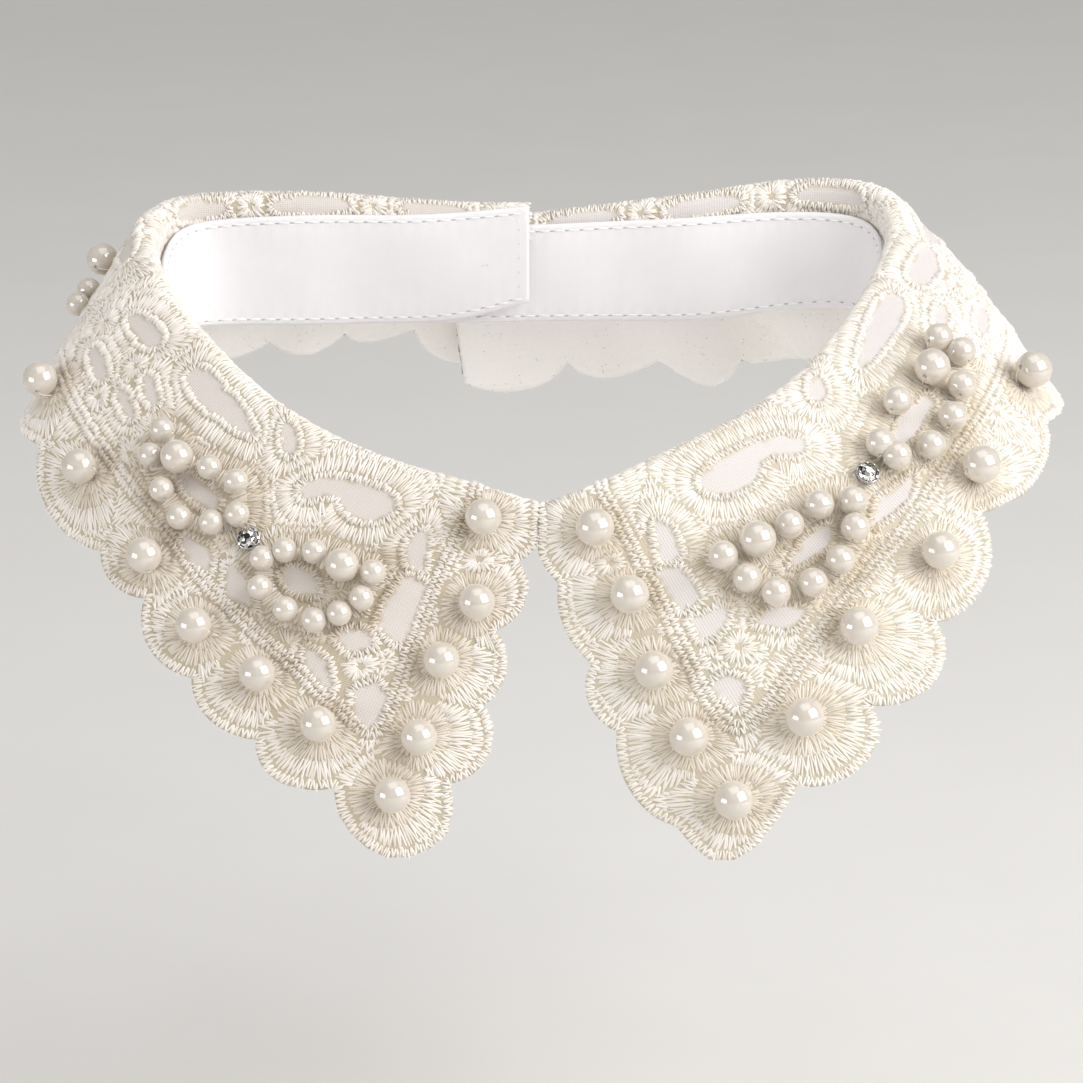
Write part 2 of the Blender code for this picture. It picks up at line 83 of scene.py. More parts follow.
RIGHT = [
    (0.00, 0.35, -50.0, -12.8, 2.3, 33.1, -77.2, -74.1, 2.0),
    (0.06, 12.7, -48.9, -8.6, 2.3, 46.2, -75.1, -61.9, 2.2),
    (0.12, 24.6, -45.0, -3.8, 2.3, 58.9, -70.0, -49.4, 2.4),
    (0.20, 39.5, -37.2, 1.6, 2.3, 72.9, -59.5, -34.0, 2.6),
    (0.28, 51.9, -26.0, 7.4, 2.3, 84.6, -44.9, -18.6, 2.8),
    (0.36, 60.9, -11.9, 13.5, 2.3, 95.0, -27.0, -6.6, 3.0),
    (0.44, 67.8, 3.1, 19.6, 2.3, 98.8, -6.8, -0.4, 3.0),
    (0.52, 72.2, 20.2, 25.4, 2.3, 96.0, 15.3, -3.5, 8.0),
    (0.60, 68.8, 36.6, 29.6, 2.3, 79.5, 34.0, -12.0, 10.0),
    (0.68, 53.0, 44.0, 29.6, 2.3, 70.5, 51.0, -12.0, 5.5),
    (0.76, 33.1, 44.1, 26.9, 2.2, 54.0, 61.5, -10.5, 3.0),
    (0.84, 15.5, 44.9, 24.4, 1.9, 31.5, 65.8, -12.2, 3.0),
    (0.92, -2.3, 44.8, 22.5, 1.5, 7.7, 66.0, -13.3, 3.0),
    (1.00, -20.1, 44.8, 22.3, 1.5, -16.2, 64.4, -12.4, 3.0),
]
# Soft waves in the fall: place along the length, half width, height at the hem.
WAVES_LEFT = [(222, 7, 2.0), (205, 7, -2.0)]
WAVES_RIGHT = [(176, 8, -3.0), (190, 7, 3.2), (202, 7, -3.0), (214, 7, 2.6)]
# Band: share of the length, top edge below the roll, bottom edge below the roll.
BAND_LEFT = [(0.0, 4.0, 9.0), (0.12, 4.5, 11.0), (0.28, 5.0, 17.0), (0.44, 5.0, 21.5), (0.60, 5.0, 25.0),
             (0.76, 3.6, 26.6), (0.86, 2.0, 25.0), (0.92, 0.5, 23.2), (1.0, -1.4, 18.9)]
BAND_RIGHT = [(0.0, 4.0, 9.0), (0.12, 4.5, 12.0), (0.28, 5.0, 18.0), (0.44, 5.5, 23.0), (0.60, 6.0, 25.4),
              (0.68, 5.4, 26.0), (0.76, 3.8, 25.5), (0.84, 2.4, 23.5), (0.92, 1.2, 21.9), (1.016, 1.0, 21.9)]
# Outline of each fall as a pattern: along the length, down from the roll, height of the scallop
# that ends there. It starts at the roll at centre front and ends at the hem at centre back.
EDGE_LEFT = [(-3.0, 8.0, 0), (0.0, 12.2, 0.7), (-1.0, 25.8, 4.4), (-4.6, 40.1, 3.6), (-3.9, 56.0, 5.0),
             (-6.4, 60.1, 0), (-7.3, 64.8, 0), (-5.1, 68.7, 0), (-1.9, 71.4, 0), (2.0, 72.7, 0),
             (6.1, 72.2, 0), (9.9, 70.6, 0), (13.4, 67.7, 0), (15.9, 63.5, 0), (30.4, 59.5, 4.0),
             (45.8, 53.8, 3.0), (62.0, 45.2, 3.8), (75.6, 43.0, 2.6), (101.4, 37.2, 4.6),
             (121.5, 33.8, 3.2), (147.0, 35.8, 5.0), (165.0, 40.0, 3.9), (181.0, 43.0, 3.9),
             (196.5, 44.2, 3.9), (210.7, 41.6, 3.6), (223.9, 42.8, 3.6), (240.5, 43.5, 7.0),
             (245.0, 47.0, 0)]
EDGE_RIGHT = [(-4.0, 9.6, 0), (-2.7, 15.8, 0.5), (-3.7, 32.4, 2.2), (-4.9, 46.1, 3.0), (-5.4, 63.8, 2.2),
              (-2.9, 66.8, 0), (-2.1, 70.7, 0), (-0.6, 74.6, 0), (2.8, 76.3, 0), (6.5, 75.7, 0),
              (9.8, 73.7, 0), (12.6, 71.7, 0), (16.1, 69.0, 0), (17.3, 67.8, 0), (33.5, 61.1, 6.0),
              (51.2, 54.1, 6.2), (70.3, 43.5, 5.0), (95.6, 42.4, 4.4), (118.5, 37.8, 3.2),
              (146.5, 40.5, 5.4), (169.7, 46.6, 4.2), (184.5, 49.0, 4.2), (197.0, 47.2, 4.4),
              (211.4, 47.4, 3.8), (226.8, 43.1, 4.6), (245.0, 46.5, 4.6)]
# Beads by their place in the pattern.
PEARLS_LEFT = [(10.5, 6.7), (5.4, 22.2), (7.7, 34.6), (6.1, 49.5), (6.6, 61.2), (22.1, 53.3), (34.8, 48.2),
               (49.4, 45.2), (65.0, 38.9), (87.8, 33.7), (110.4, 28.6), (142.0, 30.0), (158.5, 32.5),
               (173.0, 35.1), (188.8, 37.2), (203.6, 36.5), (217.3, 35.8), (232.0, 38.5)]
PEARLS_RIGHT = [(9.0, 8.7), (8.9, 22.9), (6.4, 37.8), (6.3, 51.8), (7.7, 65.8), (23.3, 57.3), (38.7, 47.6),
                (58.3, 43.9), (74.4, 37.9), (100.7, 34.4), (140.5, 31.0), (159.0, 37.5), (177.1, 41.2),
                (190.8, 41.6), (207.6, 41.0), (219.6, 38.6)]
LOOPS_LEFT = {
    "front": [(45.7, 28.1), (42.8, 24.9), (37.5, 22.8), (31.1, 23.4), (25.5, 22.5), (25.2, 27.9),
              (27.5, 32.0), (30.9, 34.9), (36.6, 35.0), (42.9, 33.2)],
    "side": [(55.1, 23.0), (59.5, 17.8), (66.0, 18.4), (72.6, 20.6), (79.9, 18.1), (77.9, 23.1),
             (71.1, 27.1), (64.5, 29.3), (58.5, 26.8)],
    "back": [(136.5, 18.5), (140.2, 16.2), (146.0, 12.0), (151.0, 14.2), (154.6, 17.6), (152.6, 21.4),
             (147.8, 22.8), (142.6, 21.8)],
}
LOOPS_RIGHT = {
    "front": [(52.3, 26.7), (46.8, 24.0), (39.8, 24.4), (33.1, 24.1), (26.4, 23.5), (27.8, 29.4),
              (30.6, 34.3), (36.9, 36.2), (43.4, 35.0), (49.4, 31.3)],
    "side": [(64.2, 21.1), (73.3, 17.9), (84.2, 18.8), (92.9, 16.3), (93.0, 21.4), (85.4, 25.3),
             (78.4, 27.5), (71.0, 28.3), (64.8, 25.1)],
    "back": [(150.5, 17.5), (153.0, 13.8), (158.0, 11.8), (163.5, 11.2), (169.0, 12.4), (172.0, 16.6),
             (169.5, 21.0), (163.5, 23.6), (157.5, 23.4), (152.5, 21.5)],
}
# The place in each loop of its one larger bead.
BIG_LEFT = {"front": 3, "side": 3, "back": 2}
BIG_RIGHT = {"front": 3, "side": 2, "back": 3}
# Radius of the beads along the edge, and of the small and larger beads in a loop.
PEARL_RADIUS = {"left": 3.4, "right": 3.65}
LOOP_RADII = {"left": (2.4, 3.2), "right": (2.8, 3.5)}
# How high above the cloth's middle a bead's or stone's foot stands.
SEAT = 0.9
STONE_LEFT = (50.8, 25.7)
STONE_RIGHT = (59.0, 23.6)
CLAWS = 8
# Paisley windows in the embroidery: centre along, centre down, half length, half width, turn in degrees.
PAISLEYS_LEFT = [(38.2, 10.0, 10.4, 3.7, 3)]
PAISLEYS_RIGHT = [(42.5, 9.6, 12.0, 3.8, -2)]
# Leaf windows: the same, then how much fuller one end is and how far that end's tail bends.
LEAVES_LEFT = [(76.0, 6.6, 12.0, 2.5, -3, -0.4, 0.6), (57.5, 4.6, 4.0, 1.6, -40, 0.2, 0),
               (66.5, 22.9, 5.6, 1.8, -6, 0.2, 0), (91.5, 14.2, 4.2, 1.3, -18, 0, 0),
               (93.0, 19.5, 4.0, 1.2, -14, 0, 0), (106.0, 7.5, 6.5, 2.2, 4, 0.2, 0),
               (107.0, 18.5, 5.2, 1.6, -10, 0, 0), (140.0, 4.2, 9.0, 2.4, 0, 0.2, 0),
               (157.0, 9.6, 9.0, 3.2, 6, 0.25, 0), (180.0, 8.0, 10.0, 3.2, -2, -0.2, 0),
               (203.0, 8.6, 9.0, 3.2, 6, 0.2, 0), (225.0, 8.0, 9.0, 3.0, -2, -0.2, 0),
               (145.6, 17.4, 3.6, 1.5, 6, 0, 0), (172.0, 20.0, 5.0, 1.8, -12, 0, 0),
               (190.0, 21.5, 5.0, 1.8, 8, 0, 0), (208.0, 21.0, 5.0, 1.8, -8, 0, 0),
               (226.0, 21.5, 5.0, 1.8, 8, 0, 0), (166.0, -3.4, 8.5, 1.7, 0, 0, 0),
               (193.0, -3.0, 9.0, 1.8, 0, 0, 0), (222.0, -2.6, 8.0, 1.5, 0, 0, 0)]
LEAVES_RIGHT = [(90.0, 5.4, 13.2, 2.6, -4, -0.4, 0.8), (66.0, 4.0, 3.2, 1.7, -35, 0.2, 0),
                (75.0, 21.8, 6.4, 2.0, -6, 0.2, 0), (104.0, 14.0, 4.4, 1.4, -14, 0, 0),
                (117.0, 6.5, 7.5, 2.6, 4, 0.2, 0), (112.0, 21.5, 4.8, 1.6, -10, 0, 0),
                (136.0, 7.0, 9.5, 3.0, 2, -0.2, 0), (131.0, 20.0, 5.0, 1.7, 10, 0, 0),
                (176.0, 7.5, 8.5, 3.0, 4, 0.2, 0), (196.0, 8.4, 9.0, 3.2, -2, -0.2, 0),
                (216.0, 8.4, 9.0, 3.2, 4, 0.2, 0), (235.0, 9.0, 7.5, 3.0, -2, -0.2, 0),
                (182.0, 22.5, 5.0, 1.8, 10, 0, 0), (198.0, 23.0, 5.0, 1.8, -8, 0, 0),
                (213.0, 22.5, 5.0, 1.8, 8, 0, 0), (231.0, 22.5, 5.0, 1.8, -8, 0, 0),
                (158.0, -3.6, 9.0, 1.8, 0, 0, 0), (186.0, -3.2, 8.0, 1.7, 0, 0, 0),
                (213.0, -2.8, 8.5, 1.4, 0, 0, 0)]
# Bare windows with corners.
CORNERED_LEFT = [[(17.2, 19.5), (20.0, 11.2), (23.2, 13.6), (21.2, 19.4)],
                 [(15.8, 21.2), (20.2, 20.8), (21.4, 26.5), (21.2, 31.5), (15.6, 34.6), (15.4, 28.0)],
                 [(19.6, 35.2), (23.8, 32.6), (27.4, 36.2), (22.6, 38.2)],
                 [(13.6, 44.4), (16.8, 41.6), (19.6, 45.0), (17.4, 50.2), (14.0, 50.8)],
                 [(22.8, 46.2), (26.0, 40.8), (31.0, 39.6), (28.4, 44.0)],
                 [(42.4, 37.4), (47.0, 32.4), (52.6, 31.0), (49.0, 36.8)],
                 [(54.0, 35.2), (56.0, 30.8), (63.4, 31.2), (60.2, 34.6)],
                 [(33.0, 29.8), (36.0, 26.4), (40.6, 26.4), (42.4, 29.0), (37.6, 31.2)]]
CORNERED_RIGHT = [[(16.6, 19.4), (19.6, 10.4), (21.8, 13.6), (20.6, 19.2)],
                  [(14.8, 20.6), (19.2, 20.6), (19.8, 28.2), (15.2, 29.4)],
                  [(15.8, 31.2), (23.8, 31.6), (19.2, 35.4), (15.6, 36.2)],
                  [(13.0, 44.4), (16.8, 43.2), (19.2, 46.2), (15.2, 50.8)],
                  [(24.6, 36.8), (30.2, 36.2), (34.4, 39.8), (29.8, 41.8)],
                  [(35.8, 31.2), (41.0, 27.6), (47.6, 27.2), (44.6, 31.2)],
                  [(52.8, 32.2), (57.6, 28.4), (66.8, 29.4), (62.4, 32.2)]]
# Round stitched flowers: their centres.
FLOWERS_LEFT = [(20.4, 40.2), (99.0, 13.0), (99.5, 22.5), (84.0, 25.5), (116.0, 12.5),
                (129.0, 15.0), (163.5, 17.0), (181.0, 17.5), (199.0, 17.5), (217.0, 17.0),
                (235.0, 17.0), (8.0, 14.0), (33.5, 41.0), (152.0, -3.0), (179.5, -3.0),
                (207.5, -3.0), (236.5, -3.0)]
FLOWERS_RIGHT = [(20.6, 39.4), (100.5, 25.0), (118.0, 14.0), (126.0, 14.0), (143.0, 18.0),
                 (186.0, 16.5), (206.0, 17.0), (225.0, 17.0), (239.0, 20.0), (8.5, 15.5),
                 (33.0, 45.5), (88.0, 33.5), (144.0, -3.2), (172.0, -3.2), (199.5, -3.0),
                 (228.0, -2.8)]
# The ladder, a double row of short stitches that follows the scallops: places along its middle.
LADDER_LEFT = [(14.4, -4.0), (14.0, 10.0), (14.2, 22.0), (13.6, 34.0), (12.2, 46.0), (13.2, 52.4),
               (20.0, 49.4), (31.0, 43.6), (44.0, 39.6), (56.0, 36.2), (66.0, 32.4), (80.0, 29.6),
               (96.0, 27.6), (118.0, 24.6), (134.0, 24.2), (150.0, 26.0), (166.0, 29.4), (182.0, 32.2),
               (198.0, 32.6), (214.0, 31.0), (230.0, 32.0), (246.0, 33.0)]
LADDER_RIGHT = [(14.0, -4.0), (13.6, 12.0), (13.2, 24.0), (12.4, 36.0), (11.6, 48.0), (13.2, 55.0),
                (21.0, 51.0), (34.0, 44.4), (48.0, 39.0), (62.0, 34.6), (76.0, 32.0), (92.0, 31.0),
                (112.0, 28.6), (128.0, 27.6), (144.0, 29.0), (160.0, 32.4), (176.0, 35.4), (190.0, 36.6),
                (204.0, 36.0), (220.0, 34.6), (246.0, 34.6)]


def linear(hex_colour):
    """An sRGB hex colour as linear light."""
    values = [int(hex_colour[i:i + 2], 16) / 255.0 for i in (1, 3, 5)]
    out = [v / 12.92 if v <= 0.04045 else ((v + 0.055) / 1.055) ** 2.4 for v in values]
    return (out[0], out[1], out[2], 1.0)


def spline(knots, values, at):
    """Natural cubic spline through the rows of a table."""
    k = np.asarray(knots, float)
    v = np.asarray(values, float)
    at = np.asarray(at, float)
    n = len(k)
    h = np.diff(k)
    system = np.zeros((n, n))
    right = np.zeros(v.shape)
    system[0, 0] = 1.0
    system[-1, -1] = 1.0
    for i in range(1, n - 1):
        system[i, i - 1] = h[i - 1]
        system[i, i] = 2.0 * (h[i - 1] + h[i])
        system[i, i + 1] = h[i]
        right[i] = 3.0 * ((v[i + 1] - v[i]) / h[i] - (v[i] - v[i - 1]) / h[i - 1])
    c = np.linalg.solve(system, right)
    hh = h[:, None]
    slope = (v[1:] - v[:-1]) / hh - hh * (2.0 * c[:-1] + c[1:]) / 3.0
    inside_range = np.clip(at, k[0], k[-1])
    i = np.clip(np.searchsorted(k, inside_range) - 1, 0, n - 2)
    x = (inside_range - k[i])[..., None]
    cube = (c[i + 1] - c[i]) / (3.0 * h[i][..., None])
    value = v[i] + slope[i] * x + c[i] * x * x + cube * x ** 3
    tangent = slope[i] + 2.0 * c[i] * x + 3.0 * cube * x * x
    return value + tangent * (at - inside_range)[..., None]


def unit(a):
    """Vectors brought to length 1."""
    return a / np.maximum(np.linalg.norm(a, axis=-1, keepdims=True), 1e-12)


def roll_frame(table, u):
    """Station values at u and the level direction that points away from the neck."""
    rows = np.array(table, float)
    u = np.asarray(u, float)
    stations = spline(rows[:, 0], rows[:, 1:], u)
    ahead = spline(rows[:, 0], rows[:, 1:4], u + 0.001) - spline(rows[:, 0], rows[:, 1:4], u - 0.001)
    ahead[..., 2] = 0.0
    ahead = unit(ahead)
    out = np.stack([ahead[..., 1], -ahead[..., 0], 0.0 * ahead[..., 0]], -1)
    side = np.sign(np.sum(out * stations[..., 0:3], -1, keepdims=True))
    return stations, out * side


class Cloth:
    """One half of the fall: pattern place (along, down) to a point in space."""

    # The map has a point each millimetre, past the outline on every side.
    FIRST_ALONG = -16.0
    PAST_BACK = 2.5
    FIRST_DOWN = -9.0
    LAST_DOWN = 93.0
    # How far down the fall a wave has its stated height.
    WAVE_DOWN = 38.0

    def __init__(self, table, waves):
        self.along = np.arange(self.FIRST_ALONG, LENGTH + self.PAST_BACK, 1.0)
        self.down = np.arange(self.FIRST_DOWN, self.LAST_DOWN, 1.0)
        u = np.clip(self.along, 0.0, LENGTH) / LENGTH
        points, reach = self.sections(table, u)
        grid = np.zeros((len(u), len(self.down), 3))
        for i in range(len(u)):
            for k in range(3):
                grid[i, :, k] = np.interp(self.down, reach[i], points[i, :, k])
        zero = int(np.searchsorted(self.along, 0.0))
        last = int(np.searchsorted(self.along, LENGTH))
        for i in range(zero):
            grid[i] = grid[zero] + (grid[zero + 2] - grid[zero]) * (self.along[i] / 2.0)
        for i in range(last + 1, len(self.along)):
            grid[i] = grid[last] + (grid[last] - grid[last - 1]) * (self.along[i] - LENGTH)
        self.grid = grid
        rise = np.zeros(grid.shape[:2])
        toward_hem = np.clip(self.down[None, :] / self.WAVE_DOWN, 0.0, 1.4) ** 1.6
        for place, width, height in waves:
            x = (self.along[:, None] - place) / width
            rise += height * np.exp(-x * x) * toward_hem
        self.grid = grid + self.normals() * rise[..., None]
        self.out = self.normals()
        stretch = np.linalg.norm(np.gradient(self.grid, axis=0), axis=-1)
        self.stretch = np.clip(stretch, 0.5, 2.0)[..., None]

    def sections(self, table, u):
        """Cross-sections: up the inside, over the roll, down a soft curve to the hem and past it."""
        stations, out = roll_frame(table, u)
        roll = stations[:, 0:3]
        radius = stations[:, 3:4]
        hem = stations[:, 4:7]
        bulge = stations[:, 7:8]
        centre = roll - UP * radius
        down = unit(-UP + LEAN * out)
        chord = unit(hem - centre)
        across = unit(out - chord * np.sum(out * chord, -1, keepdims=True))
        mid = (centre + hem) / 2.0 + across * (bulge + 0.5 * radius)
        start = centre
        for _ in range(3):
            leave = mid - start
            turn = np.arctan2(np.sum(leave * out, -1), -leave[:, 2])
            start = centre + (out * np.cos(turn)[:, None] + UP * np.sin(turn)[:, None]) * radius
        inner = centre - out * radius
        points = [inner + down * 12.0, inner + down * 6.0]
        for i in range(13):
            angle = math.pi + (turn - math.pi) * i / 12.0
            points.append(centre + (out * np.cos(angle)[:, None] + UP * np.sin(angle)[:, None]) * radius)
        start = points[-1]
        for i in range(1, 25):
            w = i / 24.0
            points.append((1 - w) ** 2 * start + 2 * w * (1 - w) * mid + w * w * hem)
        points.append(hem + unit(hem - mid) * 60.0)
        points = np.stack(points, 1)
        step = np.linalg.norm(np.diff(points, axis=1), axis=-1)
        reach = np.concatenate([np.zeros((len(u), 1)), np.cumsum(step, 1)], 1)
        top = np.argmax(points[:, 2:15, 2], axis=1) + 2
        return points, reach - reach[np.arange(len(u)), top][:, None]

    def normals(self):
        """The map's normals, turned to point away from the neck."""
        n = unit(np.cross(np.gradient(self.grid, axis=0), np.gradient(self.grid, axis=1)))
        middle = len(self.along) // 2
        row = int(np.searchsorted(self.down, 20.0))
        if n[middle, row, 0] * self.grid[middle, row, 0] < 0.0:
            n = -n
        return n

    def look(self, grid, s, t):
        """A grid's value at pattern places, read between its four nearest points."""
        x = np.clip(np.asarray(s, float) - self.along[0], 0.0, len(self.along) - 1.001)
        y = np.clip(np.asarray(t, float) - self.down[0], 0.0, len(self.down) - 1.001)
        i = x.astype(int)
        j = y.astype(int)
        fx = (x - i)[..., None]
        fy = (y - j)[..., None]
        near = grid[i, j] * (1 - fx) + grid[i + 1, j] * fx
        far = grid[i, j + 1] * (1 - fx) + grid[i + 1, j + 1] * fx
        return near * (1 - fy) + far * fy

    def point(self, s, t, lift=0.0):
        """The point in space of a pattern place, lifted off the cloth's middle."""
        return self.look(self.grid, s, t) + unit(self.look(self.out, s, t)) * np.asarray(lift)[..., None]


def seam_place(cloth, sign, t):
    """Where along the pattern the cloth meets the middle plane, half a seam gap short of it."""
    s = np.arange(-8.0, 6.0, 0.05)
    x = cloth.point(s, np.full(s.shape, t), 0.0 * s)[:, 0] * sign
    return float(np.interp(SEAM, x, s))


def outline(edge, cloth, sign):
    """The pattern's outline with scallops as arcs, and the number of points along its free edge."""
    points = []
    for t in np.arange(-TONGUE, edge[0][1], 0.8):
        points.append((seam_place(cloth, sign, float(t)), float(t)))
    for s, t, height in edge[1:]:
        a = np.array(points[-1])
        b = np.array([s, t])
        chord = np.linalg.norm(b - a)
        steps = 12
        if height > 0.0:
            side = np.array([-(b - a)[1], (b - a)[0]]) / chord
            radius = (chord * chord / 4.0 + height * height) / (2.0 * height)
            half = math.asin(min(1.0, chord / 2.0 / radius))
            if height > chord / 2.0:
                half = math.pi - half
            for i in range(1, steps):
                q = -half + 2.0 * half * i / steps
                x = chord / 2.0 + radius * math.sin(q)
                y = radius * (math.cos(q) - math.cos(half))
                p = a + (b - a) / chord * x + side * y
                points.append((float(p[0]), float(p[1])))
        points.append((float(b[0]), float(b[1])))
    free = len(points)
    for t in np.arange(edge[-1][1] - 1.0, -TONGUE, -1.0):
        points.append((LENGTH, float(t)))
    points.append((LENGTH, -TONGUE))
    for s in np.arange(LENGTH - 1.5, 1.0, -1.5):
        points.append((float(s), -TONGUE))
    return np.array(points), free


def inside_of(points, s, t):
    """True where pattern points lie inside a closed outline."""
    p = np.asarray(points, float)
    q = np.roll(p, -1, axis=0)
    count = np.zeros(np.shape(s), int)
    for a, b in zip(p, q):
        if a[1] == b[1]:
            continue
        crossing = (a[1] > t) != (b[1] > t)
        at = a[0] + (t - a[1]) / (b[1] - a[1]) * (b[0] - a[0])
        count += crossing & (at > s)
    return count % 2 == 1


def resample(points, step, closed):
    """Even steps along a line of pattern points."""
    p = np.asarray(points, float)
    if closed:
        p = np.vstack([p, p[:1]])
    length = np.concatenate([[0.0], np.cumsum(np.linalg.norm(np.diff(p, axis=0), axis=1))])
    count = max(4, int(round(length[-1] / step)))
    at = np.arange(count) * length[-1] / count if closed else np.linspace(0.0, length[-1], count)
    return np.stack([np.interp(at, length, p[:, 0]), np.interp(at, length, p[:, 1])], 1)


def cut_corners(points, closed, rounds=2):
    """A rounder line: each corner is replaced by two points a quarter of the way along its sides."""
    p = np.asarray(points, float)
    for _ in range(rounds):
        q = np.roll(p, -1, axis=0) if closed else p[1:]
        a = p if closed else p[:-1]
        pair = np.stack([a * 0.75 + q * 0.25, a * 0.25 + q * 0.75], 1).reshape(-1, 2)
        p = pair if closed else np.vstack([p[:1], pair, p[-1:]])
    return p


def turned_to(x, y, s, t, turn):
    """An outline turned by some degrees and moved to its place in the pattern."""
    a = math.radians(turn)
    return np.stack([s + x * math.cos(a) - y * math.sin(a), t + x * math.sin(a) + y * math.cos(a)], 1)


def leaf_line(leaf):
    """A leaf-shaped window: an ellipse, fuller at one end and turned."""
    s, t, long_half, short_half, turn, point, bend = leaf
    angle = np.linspace(0.0, 2.0 * math.pi, 60, endpoint=False)
    x = long_half * np.cos(angle)
    y = short_half * np.sign(np.sin(angle)) * np.abs(np.sin(angle)) ** 0.8 * (1.0 - point * np.cos(angle))
    tail = np.maximum(0.0, np.cos(angle) * math.copysign(1.0, point))
    y = y + bend * tail ** 2
    return turned_to(x, y, s, t, turn)


# A paisley of half length 1 and half width 1.
PAISLEY = [(-1.0, -0.1), (-0.85, -0.75), (-0.35, -1.0), (0.25, -0.9), (0.75, -0.5), (1.02, 0.15), (0.95, 0.8),
           (0.72, 0.95), (0.62, 0.55), (0.35, 0.1), (0.12, 0.2), (0.0, 0.65), (-0.3, 1.0), (-0.75, 0.75)]


def paisley_line(s, t, long_half, short_half, turn):
    """A paisley window: a full head, and a tail that narrows and hooks down."""
    sized = np.array(PAISLEY) * (long_half, short_half)
    return cut_corners(turned_to(sized[:, 0], sized[:, 1], s, t, turn), True, 3)


def ring_line(s, t, radius):
    """A circle in the pattern."""
    angle = np.linspace(0.0, 2.0 * math.pi, 48, endpoint=False)
    return np.stack([s + radius * np.cos(angle), t + radius * np.sin(angle)], 1)


# Rings of stitches round each motif: from and to, measured out from its line, and how high they stand.
FAN_RINGS = [(-2.9, -0.4, 0.8), (-0.4, 2.6, 0.9), (2.6, 6.8, 1.1), (6.8, 9.6, 1.0), (9.6, 12.6, 1.0),
             (12.6, 15.6, 1.0)]
WINDOW_RINGS = [(-0.25, 1.35, 1.6), (1.7, 5.0, 1.0), (5.0, 7.2, 0.9), (7.2, 10.4, 1.0), (10.4, 13.6, 1.0)]
FLOWER_RINGS = [(0.0, 2.4, 1.2), (2.5, 4.9, 1.0), (4.9, 7.4, 1.0), (7.4, 10.4, 1.0), (10.4, 13.4, 1.0)]
LADDER_RINGS = [(-1.35, -0.1, 1.7), (0.1, 1.35, 1.7), (1.8, 4.4, 1.0), (-4.4, -1.8, 1.0), (4.4, 7.4, 1.0),
                (-7.4, -4.4, 1.0), (7.4, 10.4, 1.0), (-10.4, -7.4, 1.0)]
LOOP_RINGS = [(-1.7, 1.7, 0.9), (1.7, 4.6, 1.0), (-4.6, -1.7, 0.9), (4.6, 7.4, 1.0), (-7.4, -4.6, 0.9),
              (7.4, 10.4, 1.0)]
# The embroidery ends just short of the cloth's edge inside the collar.
INNER_END = -8.3
# The satin rim along the free edge: its width and how high it stands.
RIM_WIDTH = 1.7
RIM_HIGH = 1.1
# No other motif comes nearer to the ladder's middle than this.
LADDER_HALF = 1.4
# Radius of the circle round an edge bead that its fan is measured from, and of a flower's bare middle.
FAN_HEART = 4.3
FLOWER_HEART = 0.9
# The pattern's map: its spacing, its first place and how far down it reaches.
MAP_STEP = 0.4
MAP_FIRST = (-14.0, -9.0)
MAP_DEPTH = 80.0
# How far a stitch strays along its ring, as a share of the pitch.
STRAY = 0.16


def line_tree(points):
    """A tree that finds the nearest of a line's points."""
    tree = KDTree(len(points))
    for i, p in enumerate(points):
        tree.insert((p[0], p[1], 0.0), i)
    tree.balance()
    return tree


